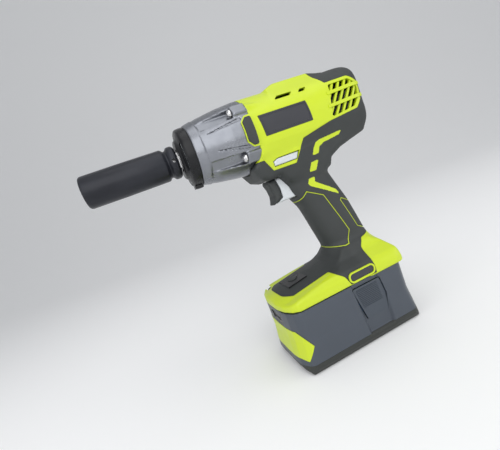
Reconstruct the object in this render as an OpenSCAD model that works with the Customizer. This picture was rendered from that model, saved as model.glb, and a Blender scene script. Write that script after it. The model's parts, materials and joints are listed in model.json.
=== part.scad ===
// Cordless impact wrench with a slide-in battery and a deep socket, standing on its battery.
// Millimetres. The nose points along -X, +Z is up, and Z = 0 is the face that the battery stands on.

/* [Stance] */
// Height of the spindle line above the floor
spindle_z = 211; // [209:0.5:214]
// Backward lean of the handle, degrees
handle_lean = 12.4; // [12:0.1:13]

/* [Head] */
// Radius of the motor housing
head_r = 32.5; // [32.3:0.1:33]
// Wall of the moulded housing
shell_wall = 2.7; // [2.4:0.1:2.9]
// Thickness of the rubber overmould
rubber_t = 1.2; // [0.8:0.1:1.4]

/* [Drive] */
// Side of the square drive
square_w = 12.7; // [12.6:0.05:12.75]
// Hexagon of the fitted socket, across flats
socket_af = 17; // [14:1:19]
// Gear module of the planetary stage
gear_module = 0.7; // [0.68:0.01:0.7]

/* [Battery] */
// Width of the battery and of the foot above it
battery_w = 75; // [75:1:77]
// Height of the visible battery body
battery_h = 57; // [56.5:0.5:57]

/* [Hidden] */
$fn = 64;
far = 200;
run_gap = 0.05;

lime = [0.80, 0.92, 0.16];
rubber_grey = [0.27, 0.29, 0.29];
casing_silver = [0.66, 0.68, 0.70];
pack_grey = [0.27, 0.30, 0.34];
black = [0.07, 0.07, 0.08];
steel = [0.55, 0.56, 0.58];
light_grey = [0.78, 0.81, 0.83];
bronze = [0.62, 0.45, 0.22];
copper = [0.72, 0.38, 0.20];
board_green = [0.10, 0.35, 0.18];

// Stations along the spindle line, nose to tail
socket_front_x = -170.5;
socket_rear_x = -92.5;
square_front_x = -107.5;
cap_front_x = -91;
case_front_x = -80;
case_rear_x = -29;
spigot_rear_x = -8;
ears_x = [-66, -57];
hammer_x = [-55.5, -34];
dog_front_x = -64;
carrier_front_x = [-24, -20.5];
carrier_rear_x = [-11.5, -8.5];
gear_x = [-20, -12];
shaft_end_x = 74;
head_rear_x = 88;

hammer_r = 23.3;
cam_r = 8;
anvil_r = 8.6;
case_bolt_r = 30.8;
case_bolt_angles = [52.9, 127.1, 232.9, 307.1];

// Planetary stage: the sun drives, the ring is fixed, the carrier turns the spindle
sun_teeth = 12;
planet_teeth = 24;
ring_teeth = 60;
planet_orbit_r = gear_module * (sun_teeth + planet_teeth) / 2;
planet_phase = 360 / planet_teeth / 2;
ring_phase = 360 / ring_teeth / 2;
planet_pin_r = 2.5;

// Side outline of the head and neck: X, and height above the spindle line
head_side = [
    [-29, -24], [-41, -29.8], [-35.6, -40.5], [-27, -43.6], [-14.5, -41.6], [-10, -47],
    [-8.2, -54], [-9, -60], [-7, -67], [-1.7, -77], [25, -95], [46.4, -88],
    [35, -52.6], [38, -42.5], [50, -37], [72, -30], [80, -20],
    [head_rear_x, 23], [83, 32], [60, 33], [44, 39.8], [9, 38.3], [-1, 33], [-29, 32.8]
];
// Side outline of the foot: X and Z
foot_side = [
    [-62, battery_h], [61, battery_h], [62, 62], [60, 71], [54.5, 80], [52, 92],
    [14, 92], [8, 84], [0, 78], [-47, 71.5], [-64.5, 64.5]
];
// Half outline of the foot seen from the front: Y and Z
foot_front = [[37.5, 50], [37.5, 64.5], [33, 71], [21, 78], [16.4, 96]];
// Plan of the foot: X and Y
foot_plan = [
    [-57, -34.5], [-51, -battery_w / 2], [50, -battery_w / 2], [57.5, -33], [62, -20],
    [62, 20], [57.5, 33], [50, battery_w / 2], [-51, battery_w / 2], [-57, 34.5],
    [-63.2, 24], [-64.5, 0], [-63.2, -24]
];
// Battery: plan, side outline and half front outline
pack_plan = [
    [-56, -33], [-50, -battery_w / 2], [50, -battery_w / 2], [57, -33], [60.5, -22],
    [60.5, 22], [57, 33], [50, battery_w / 2], [-50, battery_w / 2], [-56, 33],
    [-60.5, 24], [-61.5, 0], [-60.5, -24]
];
pack_side = [[-50, 0], [54, 0], [60.5, 7], [60.5, battery_h], [-61.5, battery_h], [-61.5, 10], [-55, 7.5]];
pack_front = [[33, -2], [battery_w / 2, 6], [battery_w / 2, 60]];

// Where the rubber covers the housing, seen from the side: X and Z
rubber_zone = [
    [43, spindle_z + 60], [44.5, spindle_z + 22], [47, spindle_z + 17.5], [69, spindle_z + 18],
    [75.5, spindle_z + 12], [76.5, spindle_z + 5], [74, spindle_z - 3.5], [67, spindle_z - 10.5],
    [38, spindle_z - 13.8], [10.5, spindle_z - 19.5], [-0.5, spindle_z - 37], [-22, spindle_z - 36.2],
    [-29, spindle_z - 26], [-60, spindle_z - 24.5], [-60, 150], [-30, 100], [-56, 78],
    [-54, 67.5], [-12, 72], [-3.5, 66.5], [0, battery_h - 5], [30, battery_h - 5],
    [30, 72], [34, 85], [70, 88], [120, 150], [120, spindle_z + 60]
];

// Housing screws: X, Z, and the Y of the face that the head seats on in the right-hand half
housing_screw_seats = [
    [-25, spindle_z - 36, 12], [62, spindle_z - 27, 14], [20, spindle_z + 34, 10],
    [71, spindle_z + 27, 14], [31, 150, 8], [30, 129, 9], [-51, 63.6, 25], [54, 65, 22]
];
pillar_r = 4.2;
screw_head_r = 2.8;

// Trigger and its pad, side outlines
trigger_side = [
    [-26.4, -65.4], [-3, -65.4], [-3, -43.2], [-18.7, -43.2], [-16.9, -53], [-17.2, -61.5]
];
trigger_pad_side = [
    [-26.4, -65.4], [-17.2, -61.5], [-16.9, -53], [-18.7, -43.2], [-26.2, -43.6],
    [-26.8, -46], [-25, -51.3], [-24.3, -57.6], [-25.3, -62.5]
];
trigger_w = 18;

// Wedge of the direction selector and the air slots, side outlines
selector_side = [[-20, -33.4], [1.4, -33.6], [4.4, -27.8], [-16.5, -27.8], [-20.6, -29.5]];
grille_side = [
    [47.5, 16.8], [40.5, -12.6], [66.8, -9.6], [73, -3], [75.6, 5.6], [74.8, 11.6], [68.6, 17]
];
badge_side = [[-21.5, -8.4], [23.4, -8.4], [22, 9], [-23, 9]];
capsule_x = [7, 25];
capsule_z = 63.6;
capsule_r = 4.9;

// Mode panel on the foot, whose top slopes
foot_slope = (78 - 71.5) / 47;
panel_x = [-44, -24];
panel_w = 24;
mode_button_x = -34;
mode_button_r = 4.5;
function foot_top(x) = 71.5 + (x + 47) * foot_slope;

// Battery stem, plan
stem_plan = [
    [20.5, -11.5], [38, -11.5], [43, -7], [43, 7], [38, 11.5], [20.5, 11.5], [15.5, 7], [15.5, -7]
];
stem_top_z = 108;
base_split_z = 8;
pack_wall = 2.5;
cell_r = 9.1;
cell_len = 65;
pack_screw_xy = [[-52, -27], [-52, 27], [52, -27], [52, 27]];
release_side = [[8.1, 22.3], [30.6, 22.3], [32.7, 37], [30.9, 52.6], [1.9, 52.6]];
release_recess = [[4.9, 7], [32.9, 7], [34.5, 37], [32.6, 70], [-0.6, 70]];
trim_side = [[-70, 14.6], [-61.2, 15.4], [-56.8, 13], [-48.7, 25.7], [-57.9, 40], [-62.8, 41.7], [-70, 42]];
blade_y = [-6, 0, 6];

// ---------------------------------------------------------------- helpers

// Moves every edge of a closed outline inwards by t (outwards if t is negative); corners stay mitred.
function unit2(v) = v / norm(v);
function turn_left(v) = [-v.y, v.x];
function inset(pts, t) = [
    for (i = [0 : len(pts) - 1])
        let (
            before = pts[(i + len(pts) - 1) % len(pts)],
            after = pts[(i + 1) % len(pts)],
            n1 = turn_left(unit2(pts[i] - before)),
            n2 = turn_left(unit2(after - pts[i]))
        )
        pts[i] + t * (n1 + n2) / (1 + n1 * n2)
];
function raised(pts, dz) = [for (p = pts) [p.x, p.y + dz]];
// Left half of an outline given for +Y, joined to its mirror image
function both_sides(half) = concat(half, [for (i = [len(half) - 1 : -1 : 0]) [-half[i].x, half[i].y]]);

// Extrudes an X-Z outline evenly to both sides of the middle plane
module across(pts, width) {
    translate([0, width / 2, 0])
        rotate([90, 0, 0])
            linear_extrude(height = width) polygon(pts);
}
// Extrudes an X-Z outline from Y = y0 to Y = y1
module across_from(pts, y0, y1) {
    translate([0, y1, 0])
        rotate([90, 0, 0])
            linear_extrude(height = y1 - y0) polygon(pts);
}
// Extrudes a Y-Z outline along X
module along(pts, x0, x1) {
    translate([x0, 0, 0])
        rotate([90, 0, 90])
            linear_extrude(height = x1 - x0) polygon(pts);
}
// Children drawn about Z stand about the spindle line, their Z = 0 at X = x, towards the tail
module on_spindle(x) {
    translate([x, 0, spindle_z]) rotate([0, 90, 0]) children();
}
module spindle_rod(x0, x1, r) {
    on_spindle(x0) cylinder(h = x1 - x0, r = r);
}
module spindle_tube(x0, x1, r_out, r_in) {
    on_spindle(x0)
        difference() {
            cylinder(h = x1 - x0, r = r_out);
            translate([0, 0, -1]) cylinder(h = x1 - x0 + 2, r = r_in);
        }
}
module box(x, y, z) {
    translate([x[0], y[0], z[0]]) cube([x[1] - x[0], y[1] - y[0], z[1] - z[0]]);
}

// One round-wire coil about Z, from Z = 0 to Z = length
module coil_spring(mean_r, wire_r, length, turns, steps = 18, sides = 8) {
    count = turns * steps;
    rise = (length - 2 * wire_r) / count;
    points = [
        for (i = [0 : count], j = [0 : sides - 1])
            let (
                a = 360 * i / steps,
                b = 360 * j / sides,
                r = mean_r + wire_r * cos(b)
            )
            [r * cos(a), r * sin(a), wire_r + i * rise + wire_r * sin(b)]
    ];
    skin = [
        for (i = [0 : count - 1], j = [0 : sides - 1])
            let (k = (j + 1) % sides)
            [i * sides + j, i * sides + k, (i + 1) * sides + k, (i + 1) * sides + j]
    ];
    start_cap = [[for (j = [sides - 1 : -1 : 0]) j]];
    end_cap = [[for (j = [0 : sides - 1]) count * sides + j]];
    polyhedron(points, concat(skin, start_cap, end_cap));
}

// Involute gear outline with stub teeth and a little backlash; one tooth is centred at angle 0.
pressure = 20;
stub = 0.8;
root = 1.1;
function inv_deg(a) = tan(a) * 180 / PI - a;
function half_tooth(n, r) =
    let (base = gear_module * n / 2 * cos(pressure))
    90 / n + inv_deg(pressure) - inv_deg(acos(min(1, base / r)));
function polar(r, a) = [r * cos(a), r * sin(a)];
function gear_outline(n, tip, foot, slack) =
    let (
        pitch_r = gear_module * n / 2,
        low = max(pitch_r - foot * gear_module, 0.1),
        high = pitch_r + tip * gear_module,
        flank0 = max(low, pitch_r * cos(pressure))
    )
    [
        for (t = [0 : n - 1])
            let (mid = 360 * t / n)
            each concat(
                [polar(low, mid - half_tooth(n, flank0) + slack)],
                [for (s = [0 : 3])
                    let (r = flank0 + (high - flank0) * s / 3)
                    polar(r, mid - half_tooth(n, r) + slack)],
                [for (s = [3 : -1 : 0])
                    let (r = flank0 + (high - flank0) * s / 3)
                    polar(r, mid + half_tooth(n, r) - slack)],
                [polar(low, mid + half_tooth(n, flank0) - slack)]
            )
    ];

// ---------------------------------------------------------------- housing shapes

handle_foot_x = 32.7;
handle_depth = 44.2;
handle_width = 33;
// Rounded section of the handle, thinner by t all round
function handle_section(t) = [
    for (i = [0 : 35])
        let (c = cos(10 * i), s = sin(10 * i), e = 2 / 2.5)
        [
            (handle_depth / 2 - t) * sign(c) * pow(abs(c), e),
            (handle_width / 2 - t) * sign(s) * pow(abs(s), e)
        ]
];
module handle_bar(t) {
    translate([handle_foot_x, 0, 80])
        rotate([0, -handle_lean, 0])
            translate([0, 0, -12])
                linear_extrude(height = 64) polygon(handle_section(t));
}
hump_front = both_sides([[21, 18], [18, 33], [10, 40.2]]);
neck_front = both_sides([[15.8, -100], [16.2, -60], [20, -42], [25.5, -25], [29, -14]]);
module head_mass(t) {
    intersection() {
        across(raised(inset(head_side, t), spindle_z), 80);
        union() {
            spindle_rod(-29, head_rear_x + 5, head_r - t);
            along(raised(inset(hump_front, t), spindle_z), -6 + t, 66 - t);
            along(raised(inset(neck_front, t), spindle_z), -45, 50 - t);
        }
    }
}
module foot_mass(t) {
    intersection() {
        across(inset(foot_side, t), 80);
        along(inset(both_sides(foot_front), t), -80, 80);
        translate([0, 0, 40]) linear_extrude(height = 60) polygon(inset(foot_plan, t));
    }
}
// The whole moulded body, thinner by t all round
module body_mass(t) {
    union() {
        head_mass(t);
        handle_bar(t);
        foot_mass(t);
    }
}
module rubber_blank() {
    across(rubber_zone, 120);
}
module case_bolts(x0, x1, r) {
    for (a = case_bolt_angles)
        on_spindle(x0) rotate([0, 0, a]) translate([case_bolt_r, 0, 0]) cylinder(h = x1 - x0, r = r);
}
// Cylinder along Y at one housing screw, from Y = y0 to Y = y1
module screw_line(seat, y0, y1, r) {
    translate([seat.x, y1, seat.y]) rotate([90, 0, 0]) cylinder(h = y1 - y0, r = r);
}
module lean_slots() {
    for (row = [[-14, -3], [-0.5, 7.5], [10, 18]])
        intersection() {
            polygon(raised(grille_side, spindle_z));
            translate([30, spindle_z + row[0]]) square([60, row[1] - row[0]]);
            for (i = [0 : 8])
                translate([33.5 + 6 * i, spindle_z - 14])
                    polygon([[0, 0], [3.4, 0], [22.4, 33], [19, 33]]);
        }
}
// Everything that is cut out of the moulded body from outside
module body_cuts() {
    // Bore for the gear case and mouth for the trigger
    spindle_rod(-30, -20, 27);
    spindle_rod(-60, -28.95, 32.7);
    box([-60, 3], [-trigger_w / 2 - 0.4, trigger_w / 2 + 0.4], [spindle_z - 65.9, spindle_z - 42.7]);
    // Slot for the direction selector, through both sides
    across(raised(inset(selector_side, -0.4), spindle_z), 80);
    // Seats of the badges
    side_badge_blank();
    foot_badge_blank();
    // Air inlets and outlets, left and right
    for (m = [0, 1])
        mirror([0, m, 0]) {
            translate([0, 60, 0]) rotate([90, 0, 0]) linear_extrude(height = 39) lean_slots();
            box([-2, 16], [18, 60], [spindle_z + 18.2, spindle_z + 20.8]);
            box([21, 29], [18, 60], [spindle_z + 18.2, spindle_z + 20.8]);
        }
    // Mouth for the battery stem, and the mode panel's pocket
    translate([0, 0, 50]) linear_extrude(height = 20) polygon(inset(stem_plan, -0.5));
    across(mode_panel_side(0), panel_w);
    translate([mode_button_x, 0, 60]) cylinder(h = 20, r = mode_button_r + 0.4);
}
module side_badge_blank() {
    intersection() {
        spindle_tube(-30, 30, head_r + 0.2, head_r - 1.1);
        across(raised(badge_side, spindle_z), 80);
    }
}
module foot_badge_blank() {
    for (m = [0, 1])
        mirror([0, m, 0])
            translate([0, battery_w / 2 + 0.3, 0])
                rotate([90, 0, 0])
                    linear_extrude(height = 1.5)
                        union() {
                            translate([capsule_x[0], capsule_z - capsule_r])
                                square([capsule_x[1] - capsule_x[0], 2 * capsule_r]);
                            for (x = capsule_x) translate([x, capsule_z]) circle(r = capsule_r);
                        }
}
function mode_panel_side(gap) = [
    [panel_x[0] - gap, foot_top(panel_x[0]) - 2.2], [panel_x[1] + gap, foot_top(panel_x[1]) - 2.2],
    [panel_x[1] + gap, foot_top(panel_x[1]) + 0.2], [panel_x[0] - gap, foot_top(panel_x[0]) + 0.2]
];

// Both housing halves in one piece, before the split
module housing_whole() {
    difference() {
        union() {
            difference() {
                union() {
                    body_mass(rubber_t);
                    difference() {
                        body_mass(0);
                        rubber_blank();
                    }
                }
                body_mass(shell_wall);
            }
            // Screw bosses behind the gear case
            case_bolts(-29, -12, 4.4);
            // Screw pillars and the web that holds the rear motor bearing
            intersection() {
                body_mass(shell_wall / 2);
                union() {
                    for (s = housing_screw_seats) screw_line(s, -60, 60, pillar_r);
                    spindle_tube(68.5, 71.5, 40, 8);
                }
            }
        }
        body_cuts();
        spindle_rod(-22, -8, 27);
        case_bolts(-30, -14, 1.9);
    }
}

// ---------------------------------------------------------------- housing

module housing_left() {
    color(lime)
        difference() {
            intersection() {
                housing_whole();
                box([-far, far], [-60, 0], [0, 2 * far]);
            }
            for (s = housing_screw_seats) screw_line(s, -9, 1, 1.5);
        }
}

module housing_right() {
    color(lime)
        difference() {
            intersection() {
                housing_whole();
                box([-far, far], [0, 60], [0, 2 * far]);
            }
            for (s = housing_screw_seats) {
                screw_line(s, -1, 60, 1.7);
                screw_line(s, s.z, 60, screw_head_r + 0.4);
            }
        }
}

module overmould_whole() {
    difference() {
        intersection() {
            body_mass(0);
            rubber_blank();
        }
        body_mass(rubber_t);
        body_cuts();
        for (s = housing_screw_seats) {
            screw_line(s, s.z - 3, s.z + 1, 1.9);
            screw_line(s, s.z, 60, screw_head_r + 0.4);
        }
    }
}

module overmould_left() {
    color(rubber_grey)
        intersection() {
            overmould_whole();
            box([-far, far], [-60, 0], [0, 2 * far]);
        }
}

module overmould_right() {
    color(rubber_grey)
        intersection() {
            overmould_whole();
            box([-far, far], [0, 60], [0, 2 * far]);
        }
}

module gear_case() {
    color(casing_silver)
        difference() {
            union() {
                on_spindle(0)
                    rotate_extrude()
                        polygon([
                            [11.5, -90], [14.5, -90], [14.5, -80], [25, -80], [28.3, -66.5],
                            [31.1, -47.5], [32.4, -33], [32.4, case_rear_x], [27, case_rear_x], [27, spigot_rear_x],
                            [25.5, spigot_rear_x], [25.5, -20.5], [24.6, -20.5], [24.6, -58],
                            [22.3, -67], [22.3, -68], [11.5, -68]
                        ]);
                case_bolts(-42, case_rear_x, 3.7);
            }
            case_bolts(-41, -28, 2.05);
            case_bolts(-70, -40, 4.2);
        }
}

module nose_cap() {
    color(black)
        difference() {
            on_spindle(0)
                rotate_extrude()
                    polygon([
                        [9.6, cap_front_x], [16.3, cap_front_x], [20, -88.3], [24, -87.5],
                        [24.6, -84.4], [25, case_front_x], [14.5, case_front_x], [14.5, -90], [9.6, -90]
                    ]);
            lamp_blank();
        }
}
// Three curved windows in the face of the nose cap
module lamp_blank() {
    for (a = [90, 210, 330])
        intersection() {
            spindle_tube(-89.5, -82, 23.2, 19.4);
            on_spindle(-95)
                rotate([0, 0, a])
                    linear_extrude(height = 20) polygon([[0, 0], [40, -21], [40, 21]]);
        }
}

module lamp_lenses() {
    color([0.92, 0.95, 0.96])
        intersection() {
            lamp_blank();
            spindle_rod(-88.2, -82, 30);
        }
}

module gear_case_screws() {
    color(steel)
        union() {
            case_bolts(-43, -40, 3.2);
            case_bolts(-40.5, -14.5, 1.9);
        }
}

module housing_screws() {
    color(black)
        for (s = housing_screw_seats) {
            screw_line(s, s.z, s.z + 2.2, screw_head_r);
            screw_line(s, -8.5, s.z + 1, 1.5);
        }
}

module side_badges() {
    color(rubber_grey) side_badge_blank();
}

module foot_badges() {
    color(lime) foot_badge_blank();
}

// ---------------------------------------------------------------- output end

module anvil_bushing() {
    color(bronze) spindle_tube(-87, -67, 11.5, anvil_r + run_gap);
}

module anvil_seal() {
    color(black) spindle_tube(-90, -87.2, 11.5, anvil_r + 0.35);
}

module anvil() {
    color(steel)
        difference() {
            union() {
                on_spindle(square_front_x)
                    translate([-square_w / 2, -square_w / 2, 0]) cube([square_w, square_w, 16]);
                spindle_rod(-91.8, ears_x[0], anvil_r);
                spindle_rod(ears_x[0], ears_x[1], 10.5);
                intersection() {
                    spindle_rod(ears_x[0], ears_x[1], 20.5);
                    box(ears_x, [-6, 6], [spindle_z - 30, spindle_z + 30]);
                }
            }
            // Pilot for the camshaft, and the groove for the friction ring
            spindle_rod(-65, -56, 4 + run_gap);
            spindle_tube(-104.5, -102.5, 12, 5.4);
        }
}

module friction_ring() {
    color(black) spindle_tube(-104.4, -102.6, 6.2, 5.4);
}

module socket() {
    color(black)
        difference() {
            on_spindle(0)
                rotate_extrude()
                    polygon([
                        [0, socket_front_x], [12.4, socket_front_x], [13.4, -169.5], [13.6, -104.5],
                        [11.4, -102], [11.4, -101], [13.9, -98.5], [13.9, -94.5], [12, socket_rear_x],
                        [0, socket_rear_x]
                    ]);
            // Hexagon for the nut, square for the drive, and the bore between them
            on_spindle(socket_front_x - 1) rotate([0, 0, 30]) cylinder(h = 31, r = socket_af / sqrt(3), $fn = 6);
            on_spindle(-111)
                translate([-square_w / 2 - 0.05, -square_w / 2 - 0.05, 0])
                    cube([square_w + 0.1, square_w + 0.1, 20]);
            spindle_rod(-150, -100, 5);
            // Hole for a retaining pin
            translate([-96.5, 30, spindle_z]) rotate([90, 0, 0]) cylinder(h = 60, r = 1.6);
        }
}

// ---------------------------------------------------------------- impact mechanism

module hammer() {
    color(steel)
        difference() {
            union() {
                spindle_rod(hammer_x[0], hammer_x[1], hammer_r);
                for (m = [0, 1])
                    mirror([0, m, 0])
                        intersection() {
                            spindle_tube(dog_front_x, hammer_x[0] + 1, 21.5, 12);
                            box([dog_front_x, hammer_x[0] + 1], [0, 30], [spindle_z - 6, spindle_z + 6]);
                        }
            }
            spindle_rod(-60, -30, cam_r + run_gap);
            spindle_tube(-45, -30, 19.5, 11.5);
            for (a = [0, 180])
                on_spindle(-60) rotate([0, 0, a]) translate([cam_r, 0, 0]) cylinder(h = 13.5, r = 3.2);
        }
}

module hammer_spring() {
    color(steel) on_spindle(-44.9) coil_spring(15.5, 1.4, 20.8, 4);
}

module camshaft() {
    color(steel)
        difference() {
            union() {
                spindle_rod(-64, -56, 4);
                spindle_rod(-57, carrier_front_x[0] + 1, cam_r);
                spindle_rod(carrier_front_x[0], carrier_front_x[1], 21);
                spindle_rod(carrier_rear_x[0], carrier_rear_x[1], 21);
                spindle_rod(carrier_rear_x[1] - 1, -2, 7.45);
                for (a = [60, 180, 300])
                    on_spindle(carrier_front_x[1] - 0.5)
                        rotate([0, 0, a]) translate([16.5, 0, 0]) cylinder(h = 10, r = 2.6);
            }
            spindle_rod(-22.6, -12.6, 2.35);
            spindle_rod(-13, 0, 5.2);
            for (a = [0, 120, 240])
                on_spindle(-25) rotate([0, 0, a]) translate([planet_orbit_r, 0, 0]) cylinder(h = 20, r = planet_pin_r);
            for (a = [0, 180])
                on_spindle(-50) rotate([0, 0, a]) translate([cam_r, 0, 0]) sphere(r = 2.9);
        }
}

module cam_balls() {
    color(steel)
        for (a = [0, 180])
            on_spindle(-50) rotate([0, 0, a]) translate([cam_r, 0, 0]) sphere(r = 2.9);
}

module planet_pins() {
    color(steel)
        for (a = [0, 120, 240])
            on_spindle(carrier_front_x[0])
                rotate([0, 0, a])
                    translate([planet_orbit_r, 0, 0])
                        cylinder(h = carrier_rear_x[1] - carrier_front_x[0], r = planet_pin_r);
}

function slack_deg(teeth) = 0.04 / (gear_module * teeth / 2) * 180 / PI;
module planet_gear(orbit_angle) {
    color(steel)
        on_spindle(gear_x[0])
            rotate([0, 0, orbit_angle])
                translate([planet_orbit_r, 0, 0])
                    rotate([0, 0, planet_phase - orbit_angle])
                        linear_extrude(height = gear_x[1] - gear_x[0])
                            difference() {
                                polygon(gear_outline(planet_teeth, stub, root, slack_deg(planet_teeth)));
                                circle(r = planet_pin_r + run_gap);
                            }
}
module planet_gear_1() {
    planet_gear(0);
}

module planet_gear_2() {
    planet_gear(120);
}

module planet_gear_3() {
    planet_gear(240);
}

module ring_gear() {
    color(steel)
        on_spindle(gear_x[0])
            linear_extrude(height = gear_x[1] - gear_x[0])
                difference() {
                    circle(r = 25.5);
                    rotate([0, 0, ring_phase])
                        polygon(gear_outline(ring_teeth, root, stub, -slack_deg(ring_teeth)));
                }
}

module gearbox_plate() {
    color(casing_silver)
        difference() {
            spindle_rod(-8, -2, 27);
            spindle_rod(-9, 0, 8);
            spindle_rod(-7, 0, 12);
        }
}

module carrier_bearing() {
    color(steel) spindle_tube(-7, -2, 12, 7.5);
}

// ---------------------------------------------------------------- motor

module sun_pinion() {
    color(steel)
        on_spindle(gear_x[0])
            linear_extrude(height = 9)
                difference() {
                    polygon(gear_outline(sun_teeth, stub, root, slack_deg(sun_teeth)));
                    circle(r = 2);
                }
}

module rotor_shaft() {
    color(steel)
        union() {
            spindle_rod(-22, 0, 2);
            spindle_rod(-1, shaft_end_x, 2.5);
        }
}

module rotor_core() {
    color(steel)
        difference() {
            spindle_rod(16, 46, 16.8);
            spindle_rod(15, 47, 2.5);
            for (i = [0 : 11])
                on_spindle(15) rotate([0, 0, 30 * i]) translate([14, 0, 0]) cylinder(h = 32, r = 2);
        }
}

module rotor_windings() {
    color(copper)
        union() {
            spindle_tube(11, 16, 15.4, 6);
            spindle_tube(46, 51.5, 15.4, 6);
        }
}

module commutator() {
    color(copper) spindle_tube(52.5, 65, 8, 2.5);
}

module cooling_fan() {
    color(black)
        difference() {
            union() {
                spindle_tube(5, 6.2, 18, 2.5);
                spindle_tube(5, 9.8, 5.5, 2.5);
                for (i = [0 : 8])
                    on_spindle(5) rotate([0, 0, 40 * i]) translate([5, -0.6, 0]) cube([12.8, 1.2, 4.6]);
            }
            spindle_rod(4, 11, 2.5);
        }
}

module front_motor_bearing() {
    color(steel) spindle_tube(0, 4, 6.5, 2.5 + run_gap);
}

module rear_motor_bearing() {
    color(steel) spindle_tube(67, 72, 8, 2.5 + run_gap);
}

module motor_can() {
    color(casing_silver)
        difference() {
            spindle_rod(0, 56, 22.5);
            spindle_rod(3.5, 57, 20.5);
            spindle_rod(-1, 5, 6.5);
            for (i = [0 : 5])
                on_spindle(-1) rotate([0, 0, 60 * i]) translate([14, 0, 0]) cylinder(h = 6, r = 3);
        }
}

module motor_magnets() {
    color(black)
        intersection() {
            spindle_tube(12, 50, 20.5, 17.5);
            for (a = [0, 180])
                on_spindle(0)
                    rotate([0, 0, a])
                        linear_extrude(height = 60) polygon([[0, 0], [40, -50], [40, 50]]);
        }
}

module brush_bell() {
    color(black)
        difference() {
            union() {
                difference() {
                    spindle_rod(56, 68.2, 22.5);
                    spindle_rod(55, 66, 20.5);
                }
                spindle_rod(66, 68.2, 10);
                for (m = [0, 1]) mirror([0, m, 0]) box([57, 66.5], [10, 21.5], [spindle_z - 5, spindle_z + 5]);
            }
            spindle_rod(60, 70, 8);
            for (m = [0, 1]) mirror([0, m, 0]) box([58, 64], [0, 19.8], [spindle_z - 3, spindle_z + 3]);
            for (a = [0 : 60 : 300])
                on_spindle(60) rotate([0, 0, a]) translate([15, 0, 0]) cylinder(h = 10, r = 2.6);
        }
}

module carbon_brushes() {
    color([0.16, 0.16, 0.17])
        for (m = [0, 1]) mirror([0, m, 0]) box([58, 64], [8.35, 17], [spindle_z - 3, spindle_z + 3]);
}

// ---------------------------------------------------------------- controls

module switch_module() {
    color(black)
        difference() {
            box([5, 25], [-10, 10], [spindle_z - 67, spindle_z - 45]);
            translate([4, 0, spindle_z - 54]) rotate([0, 90, 0]) cylinder(h = 14, r = 2 + run_gap);
        }
}

module trigger() {
    color(light_grey)
        union() {
            across(raised(trigger_side, spindle_z), trigger_w);
            translate([-4, 0, spindle_z - 54]) rotate([0, 90, 0]) cylinder(h = 12, r = 2);
        }
}

module trigger_pad() {
    color(rubber_grey) across(raised(trigger_pad_side, spindle_z), trigger_w);
}

module trigger_spring() {
    color(steel)
        translate([-2.95, 0, spindle_z - 54]) rotate([0, 90, 0]) coil_spring(3.6, 0.5, 7.9, 4, 16, 6);
}

module direction_selector() {
    color(light_grey)
        union() {
            for (m = [0, 1]) mirror([0, m, 0]) across_from(raised(selector_side, spindle_z), 16, 24.5);
            box([-14, 0], [-17, 17], [spindle_z - 33.2, spindle_z - 29.4]);
        }
}

module control_board() {
    color(board_green)
        union() {
            box([-44, 10], [-26, 26], [61, 62.6]);
            for (x = [-38, -20, -8]) box([x, x + 7], [8, 16], [62, 66]);
            box([-12, 6], [-20, -10], [62, 67]);
            translate([mode_button_x, 0, 62]) cylinder(h = 3, r = 2);
        }
}

module speed_panel() {
    color(black)
        difference() {
            across(mode_panel_side(0), panel_w);
            translate([mode_button_x, 0, 60]) cylinder(h = 20, r = mode_button_r + 0.4);
        }
}

module speed_button() {
    color(light_grey)
        intersection() {
            translate([mode_button_x, 0, 66.2]) cylinder(h = 20, r = mode_button_r);
            across([
                [-60, 60], [0, 60], [0, foot_top(0) + 0.9], [-60, foot_top(-60) + 0.9]
            ], 30);
        }
}

module terminal_block() {
    color(black)
        union() {
            box([17, 38], [-10, 10], [109, 117]);
            for (y = blade_y) box([24, 31], [y - 0.4, y + 0.4], [95, 110]);
        }
}

// A lead runs straight from point to point, with a slight bulge at each bend
module lead(points, r) {
    for (i = [0 : len(points) - 2]) {
        run = points[i + 1] - points[i];
        translate(points[i])
            rotate([0, acos(run.z / norm(run)), atan2(run.y, run.x)])
                cylinder(h = norm(run), r = r, $fn = 24);
        if (i > 0) translate(points[i]) sphere(r = r + 0.2, $fn = 24);
    }
}
module power_leads() {
    color([0.70, 0.08, 0.06])
        for (y = [-5, 5]) {
            lead([[22, y, 117], [21, y, 130], [15, y, 142.6]], 1.1);
            lead([[22, y, 167.8], [32, y * 1.6, 177], [44, y * 1.6, 183.5], [58, y * 1.6, 188.5]], 1.1);
        }
}

// ---------------------------------------------------------------- battery

module pack_mass(t) {
    intersection() {
        across(inset(pack_side, t), 80);
        along(inset(both_sides(pack_front), t), -80, 80);
        linear_extrude(height = 70) polygon(inset(pack_plan, t));
    }
}
module pack_shell() {
    difference() {
        pack_mass(0);
        pack_mass(pack_wall);
    }
}
// Windows for the release buttons, gauge and trim
module pack_cuts() {
    for (m = [0, 1])
        mirror([0, m, 0]) {
            across_from(release_recess, battery_w / 2 - 1, 50);
            across_from(inset(release_side, -0.4), 30, 50);
        }
    box([-70, -59.4], [-14, 14], [43.5, 53.5]);
    translate([-62, 8, 48.5]) rotate([0, 90, 0]) cylinder(h = 4, r = 3.7);
    trim_blank();
}
module trim_blank() {
    difference() {
        intersection() {
            pack_mass(0);
            across(trim_side, 80);
        }
        pack_mass(1.3);
    }
}

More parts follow.
